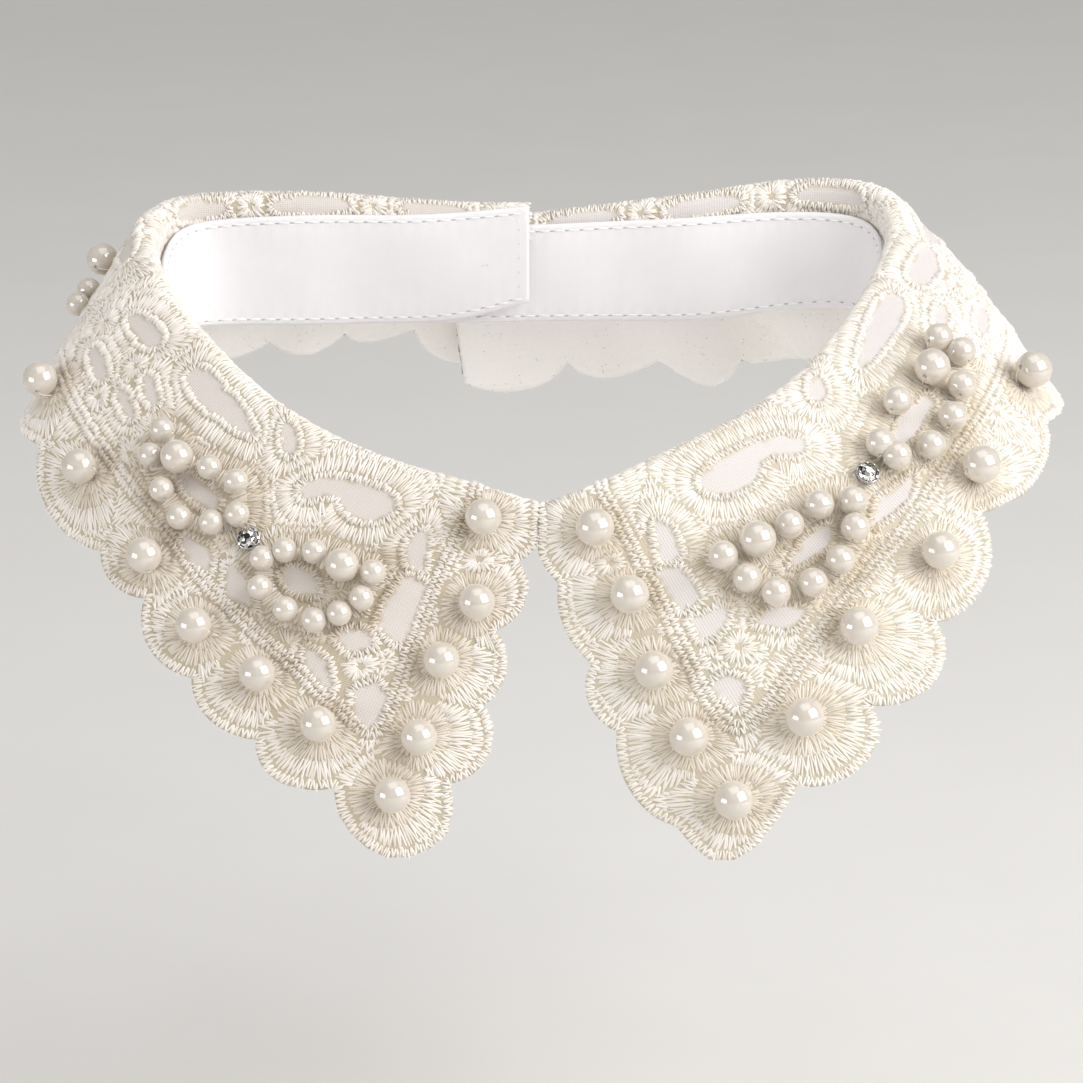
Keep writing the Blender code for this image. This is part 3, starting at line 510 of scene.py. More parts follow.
class Pattern:
    """The embroidery of one half: motifs, which motif owns each place, and the stitches."""

    def __init__(self, cloth, sign, edge, pearls, loops, paisleys, leaves, cornered, flowers, ladder):
        self.cloth = cloth
        self.border, self.free = outline(edge, cloth, sign)
        self.motifs = []
        self.windows = []
        for paisley in paisleys:
            self.add_window(paisley_line(*paisley))
        for leaf in leaves:
            self.add_window(leaf_line(leaf))
        for corners in cornered:
            self.add_window(cut_corners(resample(corners, 2.2, True), True))
        for s, t in pearls:
            self.motifs.append((ring_line(s, t, FAN_HEART), True, FAN_RINGS))
        for s, t in flowers:
            self.motifs.append((ring_line(s, t, FLOWER_HEART), True, FLOWER_RINGS))
        for places in loops.values():
            self.motifs.append((cut_corners(places, True), True, LOOP_RINGS))
        self.ladder = len(self.motifs)
        self.motifs.append((cut_corners(ladder, False, 3), False, LADDER_RINGS))
        self.map_places()

    def add_window(self, line):
        """A bare window with rings of stitches round it."""
        self.windows.append(line)
        self.motifs.append((line, True, WINDOW_RINGS))

    def map_places(self):
        """A fine map of the pattern: the nearest motif, how far it is, and what is bare or past the edge."""
        tree_points = []
        labels = []
        for m, (line, closed, _) in enumerate(self.motifs):
            for p in resample(line, 0.5, closed):
                tree_points.append(p)
                labels.append(m)
        tree = line_tree(tree_points)
        rim = line_tree(resample(self.border[:self.free], 0.4, False))
        ladder = line_tree(resample(self.motifs[self.ladder][0], 0.4, False))
        s = np.arange(MAP_FIRST[0], LENGTH + 1.0, MAP_STEP)
        t = np.arange(MAP_FIRST[1], MAP_DEPTH, MAP_STEP)
        grid_s, grid_t = np.meshgrid(s, t, indexing="ij")
        inside = inside_of(self.border, grid_s, grid_t)
        # An owner is a motif's number, -1 in a bare window or -2 past the edge.
        self.owner = np.full(grid_s.shape, -2)
        self.far = np.zeros(grid_s.shape)
        self.from_rim = np.zeros(grid_s.shape)
        for i, j in zip(*np.nonzero(inside)):
            here = (s[i], t[j], 0.0)
            _, nearest, gap = tree.find(here)
            self.owner[i, j] = labels[nearest]
            self.far[i, j] = gap
            self.from_rim[i, j] = rim.find(here)[2]
            from_ladder = ladder.find(here)[2]
            if from_ladder < LADDER_HALF:
                self.owner[i, j] = self.ladder
                self.far[i, j] = from_ladder
        for line in self.windows:
            box = (grid_s > line[:, 0].min()) & (grid_s < line[:, 0].max())
            box &= (grid_t > line[:, 1].min()) & (grid_t < line[:, 1].max())
            bare = box & inside
            bare[box] &= inside_of(line, grid_s[box], grid_t[box])
            self.owner[bare] = -1
        reach = np.array([max(far for _, far, _ in rings) for _, _, rings in self.motifs])
        self.covered = (self.owner >= 0) & (self.far < reach[self.owner])

    def at(self, s, t):
        """The map's nearest row and column to pattern places."""
        i = np.clip(np.rint((s - MAP_FIRST[0]) / MAP_STEP).astype(int), 0, self.owner.shape[0] - 1)
        j = np.clip(np.rint((t - MAP_FIRST[1]) / MAP_STEP).astype(int), 0, self.owner.shape[1] - 1)
        return i, j

    def run(self, line, closed, near, far, pitch):
        """Stitch places along a line moved out to the middle of a ring: s, t, direction."""
        p = resample(line, 0.2, closed)
        ahead = np.roll(p, -1, axis=0) - np.roll(p, 1, axis=0)
        if not closed:
            ahead[0] = p[1] - p[0]
            ahead[-1] = p[-1] - p[-2]
        ahead = unit(ahead)
        normal = np.stack([ahead[:, 1], -ahead[:, 0]], 1)
        if closed and np.sum(normal * (p - p.mean(0))) < 0.0:
            normal = -normal
        middle = p + normal * (near + far) / 2.0
        outer = p + normal * (near * 0.2 + far * 0.8 if closed else (near + far) / 2.0)
        if closed:
            middle = np.vstack([middle, middle[:1]])
            outer = np.vstack([outer, outer[:1]])
            normal = np.vstack([normal, normal[:1]])
        move = np.diff(outer, axis=0)
        stretch = self.cloth.look(self.cloth.stretch, middle[:-1, 0], middle[:-1, 1])[:, 0]
        real = np.sqrt((stretch * move[:, 0]) ** 2 + move[:, 1] ** 2)
        length = np.concatenate([[0.0], np.cumsum(real)])
        count = max(3, int(length[-1] / pitch))
        at = (np.arange(count) + 0.5) * length[-1] / count
        at = at + rng.uniform(-STRAY, STRAY, count) * pitch
        s = np.interp(at, length, middle[:, 0])
        t = np.interp(at, length, middle[:, 1])
        n = unit(np.stack([np.interp(at, length, normal[:, 0]), np.interp(at, length, normal[:, 1])], 1))
        return s, t, n

    def stitches(self):
        """Every stitch of this half: its middle, its direction, its length and how high it stands."""
        rows = []
        for m, (line, closed, rings) in enumerate(self.motifs):
            for near, far, high in rings:
                s, t, n = self.run(line, closed, near, far, PITCH)
                rows.append(self.clip(m, s, t, n, near, far, high))
        edge_line = self.border[:self.free]
        s, t, n = self.run(edge_line, False, -RIM_WIDTH - 0.05, -0.05, PITCH)
        probe = self.at(s + n[:, 0] * 1.2, t + n[:, 1] * 1.2)
        if np.mean(self.owner[probe] == -2) < 0.5:
            s, t, n = self.run(edge_line, False, 0.05, RIM_WIDTH + 0.05, PITCH)
        keep = (s < LENGTH - 0.6) & (t > INNER_END)
        rows.append(np.stack([s, t, n[:, 0], n[:, 1], 0.0 * s + RIM_WIDTH, 0.0 * s + RIM_HIGH], 1)[keep])
        return np.vstack(rows)

    def clip(self, m, s, t, n, near, far, high):
        """Keep the part of each stitch that lies in its motif's own place."""
        steps = 9
        x = np.linspace(-0.5, 0.5, steps) * (far - near)
        places_t = t[:, None] + n[:, 1:2] * x
        i, j = self.at(s[:, None] + n[:, 0:1] * x, places_t)
        own = self.owner[i, j] == m
        own &= np.abs(self.far[i, j] - np.abs((near + far) / 2.0 + x)) < 0.5
        own &= self.from_rim[i, j] > RIM_WIDTH + 0.1
        own &= places_t > INNER_END
        first = np.argmax(own, axis=1)
        last = steps - 1 - np.argmax(own[:, ::-1], axis=1)
        count = own.sum(1)
        keep = (count >= 3) & (count == last - first + 1)
        middle = (x[first] + x[last]) / 2.0
        length = x[last] - x[first] + (far - near) / steps
        place_s = s + n[:, 0] * middle
        place_t = t + n[:, 1] * middle
        return np.stack([place_s, place_t, n[:, 0], n[:, 1], length, 0.0 * s + high], 1)[keep]


def clear_selection():
    """Deselect every object."""
    for obj in list(bpy.context.selected_objects):
        obj.select_set(False)


def start_edit(obj):
    """Open one object in edit mode with nothing selected."""
    clear_selection()
    bpy.context.view_layer.objects.active = obj
    obj.select_set(True)
    bpy.ops.object.mode_set(mode="EDIT")
    bpy.ops.mesh.select_all(action="DESELECT")
    return bmesh.from_edit_mesh(obj.data)


def end_edit(obj):
    """Leave edit mode with nothing selected."""
    bmesh.update_edit_mesh(obj.data)
    bpy.ops.object.mode_set(mode="OBJECT")
    clear_selection()


def apply_modifiers(obj):
    """Make an object's modifiers part of its mesh."""
    clear_selection()
    bpy.context.view_layer.objects.active = obj
    for modifier in list(obj.modifiers):
        bpy.ops.object.modifier_apply(modifier=modifier.name)


def select_tops(obj, mesh):
    """Select the faces that look up, in edit mode."""
    for f in mesh.faces:
        f.select_set(f.normal.z > 0.9)
    bmesh.update_edit_mesh(obj.data)


def soften_edges(obj):
    """Round a small metal part's edges."""
    bevel = obj.modifiers.new("soft_edges", "BEVEL")
    bevel.width = 0.08
    bevel.segments = 2
    apply_modifiers(obj)


def face_outwards(obj):
    """Turn every face of a closed piece outwards."""
    start_edit(obj)
    bpy.ops.mesh.select_all(action="SELECT")
    bpy.ops.mesh.normals_make_consistent(inside=False)
    end_edit(obj)


def set_tones_and_shade(obj, tones_and_shade, size):
    """Give each stitch its tone and painted shade, from 0, light, to 1, deep: size is the points in a stitch.
    """
    tone = obj.data.attributes.new("thread_tone_and_shade", "FLOAT", "POINT")
    tone.data.foreach_set("value", np.repeat(tones_and_shade, size).astype(np.float32))


def shape_arrays(obj):
    """Points and faces of a finished shape, for setting many copies of it, each moved to its place."""
    mesh = obj.data
    points = np.array([v.co[:] for v in mesh.vertices])
    faces = [tuple(f.vertices) for f in mesh.polygons]
    bpy.data.objects.remove(obj, do_unlink=True)
    return points, faces


def joined_mesh(name, places, faces, material):
    """One mesh from many placed copies of a shape: places has a row of points for each copy."""
    copies, size, _ = places.shape
    corner = np.concatenate([np.array(f) for f in faces])
    totals = np.array([len(f) for f in faces])
    all_corners = (corner[None, :] + size * np.arange(copies)[:, None]).ravel()
    all_totals = np.tile(totals, copies)
    starts = np.concatenate([[0], np.cumsum(all_totals)[:-1]])
    mesh = bpy.data.meshes.new(name)
    mesh.vertices.add(copies * size)
    mesh.vertices.foreach_set("co", (places.reshape(-1) * MM).astype(np.float32))
    mesh.loops.add(len(all_corners))
    mesh.loops.foreach_set("vertex_index", all_corners.astype(np.int32))
    mesh.polygons.add(len(all_totals))
    mesh.polygons.foreach_set("loop_start", starts.astype(np.int32))
    mesh.polygons.foreach_set("use_smooth", np.full(len(all_totals), True))
    mesh.update(calc_edges=True)
    mesh.materials.append(material)
    obj = bpy.data.objects.new(name, mesh)
    bpy.context.scene.collection.objects.link(obj)
    return obj


def model_stitch():
    """One satin stitch: a half bead of thread, one unit long, wide and high, lying on the cloth."""
    clear_selection()
    bpy.ops.mesh.primitive_uv_sphere_add(segments=6, ring_count=4, radius=1.0)
    stitch = bpy.context.active_object
    bpy.ops.transform.rotate(value=math.radians(90), orient_axis="Y", center_override=(0.0, 0.0, 0.0))
    bpy.ops.transform.rotate(value=math.radians(30), orient_axis="X", center_override=(0.0, 0.0, 0.0))
    bpy.ops.object.transform_apply(location=True, rotation=True, scale=True)
    start_edit(stitch)
    bpy.ops.mesh.select_all(action="SELECT")
    bpy.ops.mesh.bisect(plane_co=(0.0, 0.0, 0.0), plane_no=(0.0, 0.0, 1.0), clear_inner=True)
    bpy.ops.mesh.select_all(action="SELECT")
    bpy.ops.transform.resize(value=(0.5, 0.5, 1.0), center_override=(0.0, 0.0, 0.0))
    end_edit(stitch)
    points, faces = shape_arrays(stitch)
    points[:, 0] = 0.5 * np.sign(points[:, 0]) * np.abs(points[:, 0] * 2.0) ** 0.8
    shoulder = np.abs(points[:, 0]) > 0.1
    points[shoulder, 1:] *= 1.16
    return points, faces


def lay_stitches(name, cloth, rows, tones_and_shade, material):
    """Set the modelled stitch at each row's place on the cloth."""
    points, faces = STITCH
    s = rows[:, 0:1]
    t = rows[:, 1:2]
    # As in sewn rows, stitches zigzag a little and stray in direction, width, length, height, place and bow.
    angle = np.arctan2(rows[:, 3:4], rows[:, 2:3]) + rng.normal(0.0, 0.09, (len(rows), 1))
    zigzag = np.clip(0.30 / rows[:, 4:5], 0.04, 0.22)
    angle += zigzag * np.where(np.arange(len(rows)) % 2, 1.0, -1.0)[:, None]
    ahead = np.concatenate([np.cos(angle), np.sin(angle)], 1)
    # Where the pattern is drawn out along the roll, a stitch is made narrower there to match.
    stretch = cloth.look(cloth.stretch, rows[:, 0], rows[:, 1])
    drawn = np.sqrt((stretch * ahead[:, 1:2]) ** 2 + ahead[:, 0:1] ** 2)
    broad = STITCH_WIDTH * rng.uniform(0.85, 1.15, (len(rows), 1)) / drawn
    long = rows[:, 4:5] * rng.uniform(0.88, 1.16, (len(rows), 1)) + 0.25
    slide = rng.normal(0.0, 0.16, (len(rows), 1))
    tall = STITCH_HEIGHT * rows[:, 5:6] * rng.uniform(0.7, 1.3, (len(rows), 1))
    x = points[None, :, 0] * long + slide
    y = points[None, :, 1] * broad
    bow = rng.normal(0.0, 0.07, (len(rows), 1)) * (1.0 - (2.0 * points[None, :, 0]) ** 2)
    y = y + bow
    place_s = s + x * ahead[:, 0:1] - y * ahead[:, 1:2]
    place_t = t + x * ahead[:, 1:2] + y * ahead[:, 0:1]
    places = cloth.point(place_s, place_t, STITCH_LIFT + points[None, :, 2] * tall)
    # The right half's pattern runs the other way round, which would turn each stitch inside out.
    if cloth is right:
        faces = [tuple(reversed(f)) for f in faces]
    obj = joined_mesh(name, places, faces, material)
    set_tones_and_shade(obj, tones_and_shade, len(points))
    return obj


def make_fall(side, cloth, pattern, sign, material_out, material_in):
    """The fall's ground cloth: the pattern laid out flat, meshed, set in space and given its thickness."""
    border = pattern.border
    points = [Vector((float(a), float(b))) for a, b in border]
    count = len(points)
    # Inside the outline the points stand in even triangles, each row shifted by half a step.
    grid_s = []
    grid_t = []
    for row, t in enumerate(np.arange(-7.6, 79.0, SHELL_STEP * 0.87)):
        shift = 0.5 * SHELL_STEP if row % 2 else 0.0
        s = np.arange(-12.0, LENGTH, SHELL_STEP) + shift
        grid_s.append(s)
        grid_t.append(np.full(s.shape, t))
    grid_s = np.concatenate(grid_s)
    grid_t = np.concatenate(grid_t)
    keep = inside_of(border, grid_s, grid_t)
    for ds, dt in ((RIM_CLEAR, 0.0), (-RIM_CLEAR, 0.0), (0.0, RIM_CLEAR), (0.0, -RIM_CLEAR)):
        keep &= inside_of(border, grid_s + ds, grid_t + dt)
    for s, t in zip(grid_s[keep], grid_t[keep]):
        points.append(Vector((float(s), float(t))))
    edges = [(i, (i + 1) % count) for i in range(count)]
    flat, _, faces, _, _, _ = geometry.delaunay_2d_cdt(points, edges, [], 1, 1e-4)
    s = np.array([p.x for p in flat])
    t = np.array([p.y for p in flat])
    place = cloth.point(s, t, 0.0 * s)
    seam = (s < 10.0) & (place[:, 0] * sign < SEAM)
    place[seam, 0] = sign * SEAM
    mesh = bpy.data.meshes.new("ground_" + side)
    mesh.from_pydata([tuple(float(c) * MM for c in p) for p in place], [], [tuple(f) for f in faces])
    mesh.update()
    obj = bpy.data.objects.new("ground_" + side, mesh)
    bpy.context.scene.collection.objects.link(obj)
    weave = mesh.attributes.new("weave_place", "FLOAT_VECTOR", "POINT")
    weave.data.foreach_set("vector", np.stack([s, t, 0.0 * s], 1).ravel().astype(np.float32))
    # Where stitches cover the ground its colour turns to the darker underlay tan, partly underlay thread and
    # partly painted shade in the gaps.
    underlay_shade = mesh.attributes.new("underlay_and_gap_shade", "FLOAT", "POINT")
    i, j = pattern.at(s, t)
    underlay_shade.data.foreach_set("value", pattern.covered[i, j].astype(np.float32))
    normal = np.array([f.normal[:] for f in mesh.polygons])
    middle = np.array([f.center[:] for f in mesh.polygons])
    at = np.argmax(middle[:, 0] * sign)
    if normal[at, 0] * sign < 0.0:
        mesh.flip_normals()
    wall = obj.modifiers.new("wall", "SOLIDIFY")
    wall.thickness = CLOTH * MM
    wall.offset = 0.0
    wall.use_even_offset = True
    wall.thickness_clamp = 1.0
    wall.material_offset = 1
    wall.material_offset_rim = 0
    mesh.materials.append(material_out)
    mesh.materials.append(material_in)
    apply_modifiers(obj)
    for f in obj.data.polygons:
        f.use_smooth = True
    return obj


class BandCloth:
    """The band as two edges: place along (from its left end), down (from its top edge)."""

    # The right half's strip runs a little past centre back, under the left end.
    LAPPED = 1.016

    def __init__(self):
        top = []
        foot = []
        away_from = []
        for u in np.linspace(1.0, 0.0, 160)[:-1]:
            self.add(LEFT, BAND_LEFT, u, top, foot, away_from)
        for u in np.linspace(0.0, self.LAPPED, 162)[1:]:
            self.add(RIGHT, BAND_RIGHT, u, top, foot, away_from)
        self.top = np.array(top)
        self.foot = np.array(foot)
        self.out = np.array(away_from)
        step = np.linalg.norm(np.diff(self.foot, axis=0), axis=1)
        self.along = np.concatenate([[0.0], np.cumsum(step)])
        self.length = self.along[-1]

    def add(self, table, rows, u, top, foot, away_from):
        """The band's top and bottom edge behind one station of a fall."""
        stations, out = roll_frame(table, np.array([u]))
        roll = stations[0, 0:3]
        radius = stations[0, 3]
        lap, depth = spline([r[0] for r in rows], [[r[1], r[2]] for r in rows], np.array([u]))[0]
        base = roll - out[0] * (radius + HALF_FALL + GAP + HALF_BAND)
        for fall, edge in ((lap, top), (depth, foot)):
            edge.append(base - UP * fall + out[0] * LEAN * (fall - radius))
        away_from.append(unit(out[0] + UP * LEAN))

    def look(self, rows, a):
        """A row of points, read at places along the band."""
        return np.stack([np.interp(a, self.along, rows[:, k]) for k in range(3)], -1)

    def height(self, a):
        """The band's width from edge to edge."""
        return np.linalg.norm(self.look(self.top, a) - self.look(self.foot, a), axis=-1)

    def point(self, a, down, lift=0.0):
        """down runs 0 at the top edge to 1 at the foot, lift is towards the falls."""
        top = self.look(self.top, a)
        foot = self.look(self.foot, a)
        down = np.asarray(down, float)[..., None]
        return top + (foot - top) * down + self.look(self.out, a) * np.asarray(lift)[..., None]

    def ripple(self, a, down):
        """The band's slight waviness."""
        return 0.22 * np.sin(a / 6.1) * np.sin(a / 17.0 + 3.0 * down)


def rows_apart(pitch):
    """The scale that sets a wave pattern's rows this many millimetres apart, on a place in millimetres."""
    return math.pi / 10.0 / pitch


def grain(size, units_per_mm=1.0):
    """The scale that gives a cloudy or spotted pattern a grain of this many millimetres."""
    return 1.0 / (size * units_per_mm)


def add_node(tree, kind, settings=None, links=None):
    """Add a shader node, set its sockets or properties, and link other nodes' outputs into it."""
    node = tree.nodes.new(kind)
    for key, value in (settings or {}).items():
        if isinstance(key, int) or key in node.inputs:
            node.inputs[key].default_value = value
        else:
            setattr(node, key, value)
    for key, output in (links or {}).items():
        tree.links.new(output, node.inputs[key])
    return node


def new_material(name):
    """A material with its node tree and its shader."""
    material = bpy.data.materials.new(name)
    material.use_nodes = True
    tree = material.node_tree
    shader = tree.nodes["Principled BSDF"]
    return material, tree, shader


def satin_thread(name, light, deep_and_shade):
    """Rayon embroidery thread, laid in satin stitches: soft gloss, a tone that varies by stitch, and painted
    shade.
    """
    material, tree, shader = new_material(name)
    tone = add_node(tree, "ShaderNodeAttribute", {"attribute_name": "thread_tone_and_shade"})
    place = add_node(tree, "ShaderNodeTexCoord")
    cloud = add_node(tree, "ShaderNodeTexNoise", {"Scale": grain(16.7, MM), "Detail": 3.0},
                     {"Vector": place.outputs["Object"]})
    shift = add_node(tree, "ShaderNodeMath", {"operation": "MULTIPLY_ADD", 1: 0.35, 2: -0.17},
                     {0: cloud.outputs["Fac"]})
    total = add_node(tree, "ShaderNodeMath", {"operation": "ADD", "use_clamp": True},
                     {0: tone.outputs["Fac"], 1: shift.outputs[0]})
    colour = add_node(tree, "ShaderNodeMix", {"data_type": "RGBA"}, {0: total.outputs[0]})
    colour.inputs[6].default_value = linear(light)
    colour.inputs[7].default_value = linear(deep_and_shade)
    # Single filaments are far too fine to show, so bundles of them are drawn, 0.385 mm wide.
    fibre = add_node(tree, "ShaderNodeTexNoise", {"Scale": grain(0.385, MM), "Detail": 2.0},
                     {"Vector": place.outputs["Object"]})
    bump = add_node(tree, "ShaderNodeBump", {"Strength": 0.25, "Distance": 0.0001},
                    {"Height": fibre.outputs["Fac"]})
    tree.links.new(colour.outputs[2], shader.inputs["Base Color"])
    tree.links.new(bump.outputs["Normal"], shader.inputs["Normal"])
    shader.inputs["Roughness"].default_value = 0.48
    shader.inputs["Sheen Weight"].default_value = 0.25
    shader.inputs["Sheen Roughness"].default_value = 0.4
    shader.inputs["Sheen Tint"].default_value = linear("#FFF8EA")
    return material


def plain_weave(name, bare, underlay_shade):
    """Cotton sateen ground: small rows of weave show in the windows; elsewhere underlay thread, darkened as
    painted shade in the gaps between stitches.
    """
    material, tree, shader = new_material(name)
    place = add_node(tree, "ShaderNodeAttribute", {"attribute_name": "weave_place"})
    underlay_shade_mask = add_node(tree, "ShaderNodeAttribute", {"attribute_name": "underlay_and_gap_shade"})
    # Real sateen has a thread each 0.2 mm, too fine to show, so the rows are drawn 0.5 and 0.4 mm apart.
    warp = add_node(tree, "ShaderNodeTexWave", {"Scale": rows_apart(0.507), "Distortion": 0.6, "Detail": 1.0,
                                                "Detail Scale": 1.5, "bands_direction": "X"},
                    {"Vector": place.outputs["Vector"]})
    weft = add_node(tree, "ShaderNodeTexWave", {"Scale": rows_apart(0.403), "Distortion": 0.6, "Detail": 1.0,
                                                "Detail Scale": 1.5, "bands_direction": "Y"},
                    {"Vector": place.outputs["Vector"]})
    weave = add_node(tree, "ShaderNodeMath", {"operation": "MULTIPLY"},
                     {0: warp.outputs["Fac"], 1: weft.outputs["Fac"]})
    cloth_tone = add_node(tree, "ShaderNodeMix", {"data_type": "RGBA"}, {0: weave.outputs[0]})
    cloth_tone.inputs[6].default_value = linear(bare[1])
    cloth_tone.inputs[7].default_value = linear(bare[0])
    # Partly underlay thread, partly painted shade: under the stitches the ground takes a darker tan, so the
    # gaps between stitches look shaded.
    colour = add_node(tree, "ShaderNodeMix", {"data_type": "RGBA"},
                      {0: underlay_shade_mask.outputs["Fac"], 6: cloth_tone.outputs[2]})
    colour.inputs[7].default_value = linear(underlay_shade)
    bump = add_node(tree, "ShaderNodeBump", {"Strength": 0.5, "Distance": 0.00012},
                    {"Height": weave.outputs[0]})
    tree.links.new(colour.outputs[2], shader.inputs["Base Color"])
    tree.links.new(bump.outputs["Normal"], shader.inputs["Normal"])
    shader.inputs["Roughness"].default_value = 0.82
    shader.inputs["Sheen Weight"].default_value = 0.2
    return material


def needle_felt(name, tone):
    """The underside of dense embroidery: matt interlining, dotted with needle holes whose darker colour is
    painted shade.
    """
    material, tree, shader = new_material(name)
    place = add_node(tree, "ShaderNodeAttribute", {"attribute_name": "weave_place"})
    shaded_needle_holes = add_node(tree, "ShaderNodeTexVoronoi", {"Scale": grain(1.333)},
                     {"Vector": place.outputs["Vector"]})
    dot = add_node(tree, "ShaderNodeMapRange", {"From Min": 0.05, "From Max": 0.12},
                   {"Value": shaded_needle_holes.outputs["Distance"]})
    fuzz = add_node(tree, "ShaderNodeTexNoise", {"Scale": grain(0.769), "Detail": 5.0},
                    {"Vector": place.outputs["Vector"]})
    body = add_node(tree, "ShaderNodeMix", {"data_type": "RGBA"}, {0: fuzz.outputs["Fac"]})
    body.inputs[6].default_value = linear(tone[1])
    body.inputs[7].default_value = linear(tone[0])
    # Painted shade: each needle hole's dot takes the third, darker colour, and the bump sinks it a little.
    colour = add_node(tree, "ShaderNodeMix", {"data_type": "RGBA"},
                      {0: dot.outputs["Result"], 7: body.outputs[2]})
    colour.inputs[6].default_value = linear(tone[2])
    height = add_node(tree, "ShaderNodeMath", {"operation": "MULTIPLY"},
                      {0: dot.outputs["Result"], 1: fuzz.outputs["Fac"]})
    bump = add_node(tree, "ShaderNodeBump", {"Strength": 0.6, "Distance": 0.0003},
                    {"Height": height.outputs[0]})
    tree.links.new(colour.outputs[2], shader.inputs["Base Color"])
    tree.links.new(bump.outputs["Normal"], shader.inputs["Normal"])
    shader.inputs["Roughness"].default_value = 0.92
    return material


def cotton_poplin(name):
    """White cotton poplin, starched: a very fine even weave and soft creases from pressing, their hollows a
    little darker in painted shade.
    """
    material, tree, shader = new_material(name)
    place = add_node(tree, "ShaderNodeAttribute", {"attribute_name": "weave_place"})
    # Real poplin has a thread each 0.2 mm. The rows are drawn 0.35 mm apart, which only just shows.
    fine = rows_apart(0.349)
    warp = add_node(tree, "ShaderNodeTexWave", {"Scale": fine, "Distortion": 0.8, "bands_direction": "X"},
                    {"Vector": place.outputs["Vector"]})
    weft = add_node(tree, "ShaderNodeTexWave", {"Scale": fine, "Distortion": 0.8, "bands_direction": "Y"},
                    {"Vector": place.outputs["Vector"]})
    weave = add_node(tree, "ShaderNodeMath", {"operation": "ADD"},
                     {0: warp.outputs["Fac"], 1: weft.outputs["Fac"]})
    cloud = add_node(tree, "ShaderNodeTexNoise", {"Scale": grain(12.5), "Detail": 4.0},
                     {"Vector": place.outputs["Vector"]})
    # Painted shade: the colour follows the cloud that makes the crease bump, darker in the creases' hollows.
    colour = add_node(tree, "ShaderNodeMix", {"data_type": "RGBA"}, {0: cloud.outputs["Fac"]})
    colour.inputs[6].default_value = linear("#E5E2E4")
    colour.inputs[7].default_value = linear("#F0EEEF")
    bump = add_node(tree, "ShaderNodeBump", {"Strength": 0.25, "Distance": 0.00006},
                    {"Height": weave.outputs[0]})
    crease = add_node(tree, "ShaderNodeBump", {"Strength": 0.2, "Distance": 0.0006},
                      {"Height": cloud.outputs["Fac"], "Normal": bump.outputs["Normal"]})
    tree.links.new(colour.outputs[2], shader.inputs["Base Color"])
    tree.links.new(crease.outputs["Normal"], shader.inputs["Normal"])
    shader.inputs["Roughness"].default_value = 0.85
    shader.inputs["Sheen Weight"].default_value = 0.15
    return material


def pearl_lacquer(name, tone):
    """ABS bead under pearl lacquer: a milky body, a clear hard coat and sharp highlights."""
    material, tree, shader = new_material(name)
    place = add_node(tree, "ShaderNodeTexCoord")
    cloud = add_node(tree, "ShaderNodeTexNoise", {"Scale": grain(6.25, MM), "Detail": 2.0},
                     {"Vector": place.outputs["Object"]})
    colour = add_node(tree, "ShaderNodeMix", {"data_type": "RGBA"}, {0: cloud.outputs["Fac"]})
    colour.inputs[6].default_value = linear(tone[0])
    colour.inputs[7].default_value = linear(tone[1])
    tree.links.new(colour.outputs[2], shader.inputs["Base Color"])
    shader.inputs["Roughness"].default_value = 0.6
    shader.inputs["Specular IOR Level"].default_value = 0.2
    shader.inputs["Sheen Weight"].default_value = 0.7
    shader.inputs["Sheen Roughness"].default_value = 0.3
    shader.inputs["Sheen Tint"].default_value = linear("#FFF4E2")
    shader.inputs["Coat Weight"].default_value = 1.0
    shader.inputs["Coat Roughness"].default_value = 0.03
    shader.inputs["Coat IOR"].default_value = 2.4
    shader.inputs["Subsurface Weight"].default_value = 0.25
    shader.inputs["Subsurface Radius"].default_value = (0.002, 0.0016, 0.0011)
    return material


def bright_metal(name, tone, rough):
    """Plated brass with a rhodium-bright finish, faintly scuffed."""
    material, tree, shader = new_material(name)
    place = add_node(tree, "ShaderNodeTexCoord")
    scuff = add_node(tree, "ShaderNodeTexNoise", {"Scale": grain(1.111, MM), "Detail": 3.0},
                     {"Vector": place.outputs["Object"]})
    rough_map = add_node(tree, "ShaderNodeMapRange", {"To Min": rough * 0.6, "To Max": rough * 1.6},
                         {"Value": scuff.outputs["Fac"]})
    tree.links.new(rough_map.outputs["Result"], shader.inputs["Roughness"])
    shader.inputs["Base Color"].default_value = linear(tone)
    shader.inputs["Metallic"].default_value = 1.0
    return material


def foiled_stone(name):
    """Cut glass with a silvered back: each facet is coloured dark or light, a painted reflection of the room.
    """
    material, tree, shader = new_material(name)
    facing = add_node(tree, "ShaderNodeNewGeometry")
    painted_reflection = add_node(tree, "ShaderNodeTexNoise", {"Scale": 4.0, "Detail": 0.0},
                     {"Vector": facing.outputs["True Normal"]})
    step = add_node(tree, "ShaderNodeMapRange", {"From Min": 0.37, "From Max": 0.49},
                    {"Value": painted_reflection.outputs["Fac"]})
    # Painted reflection: each facet's colour is near-black or near-white by the way it faces.
    colour = add_node(tree, "ShaderNodeMix", {"data_type": "RGBA"}, {0: step.outputs["Result"]})
    colour.inputs[6].default_value = linear("#3B3936")
    colour.inputs[7].default_value = linear("#F5F4F1")
    tree.links.new(colour.outputs[2], shader.inputs["Base Color"])
    shader.inputs["Metallic"].default_value = 1.0
    shader.inputs["Roughness"].default_value = 0.05
    shader.inputs["Coat Weight"].default_value = 1.0
    shader.inputs["Coat Roughness"].default_value = 0.02
    return material


def backdrop_paper(name):
    """Matt pale studio paper."""
    material, tree, shader = new_material(name)
    place = add_node(tree, "ShaderNodeTexCoord")
    cloud = add_node(tree, "ShaderNodeTexNoise", {"Scale": grain(33.3, MM), "Detail": 2.0},
                     {"Vector": place.outputs["Object"]})
    colour = add_node(tree, "ShaderNodeMix", {"data_type": "RGBA"}, {0: cloud.outputs["Fac"]})
    colour.inputs[6].default_value = linear("#E6E4E1")
    colour.inputs[7].default_value = linear("#EAE8E5")
    tree.links.new(colour.outputs[2], shader.inputs["Base Color"])
    shader.inputs["Roughness"].default_value = 0.95
    return material


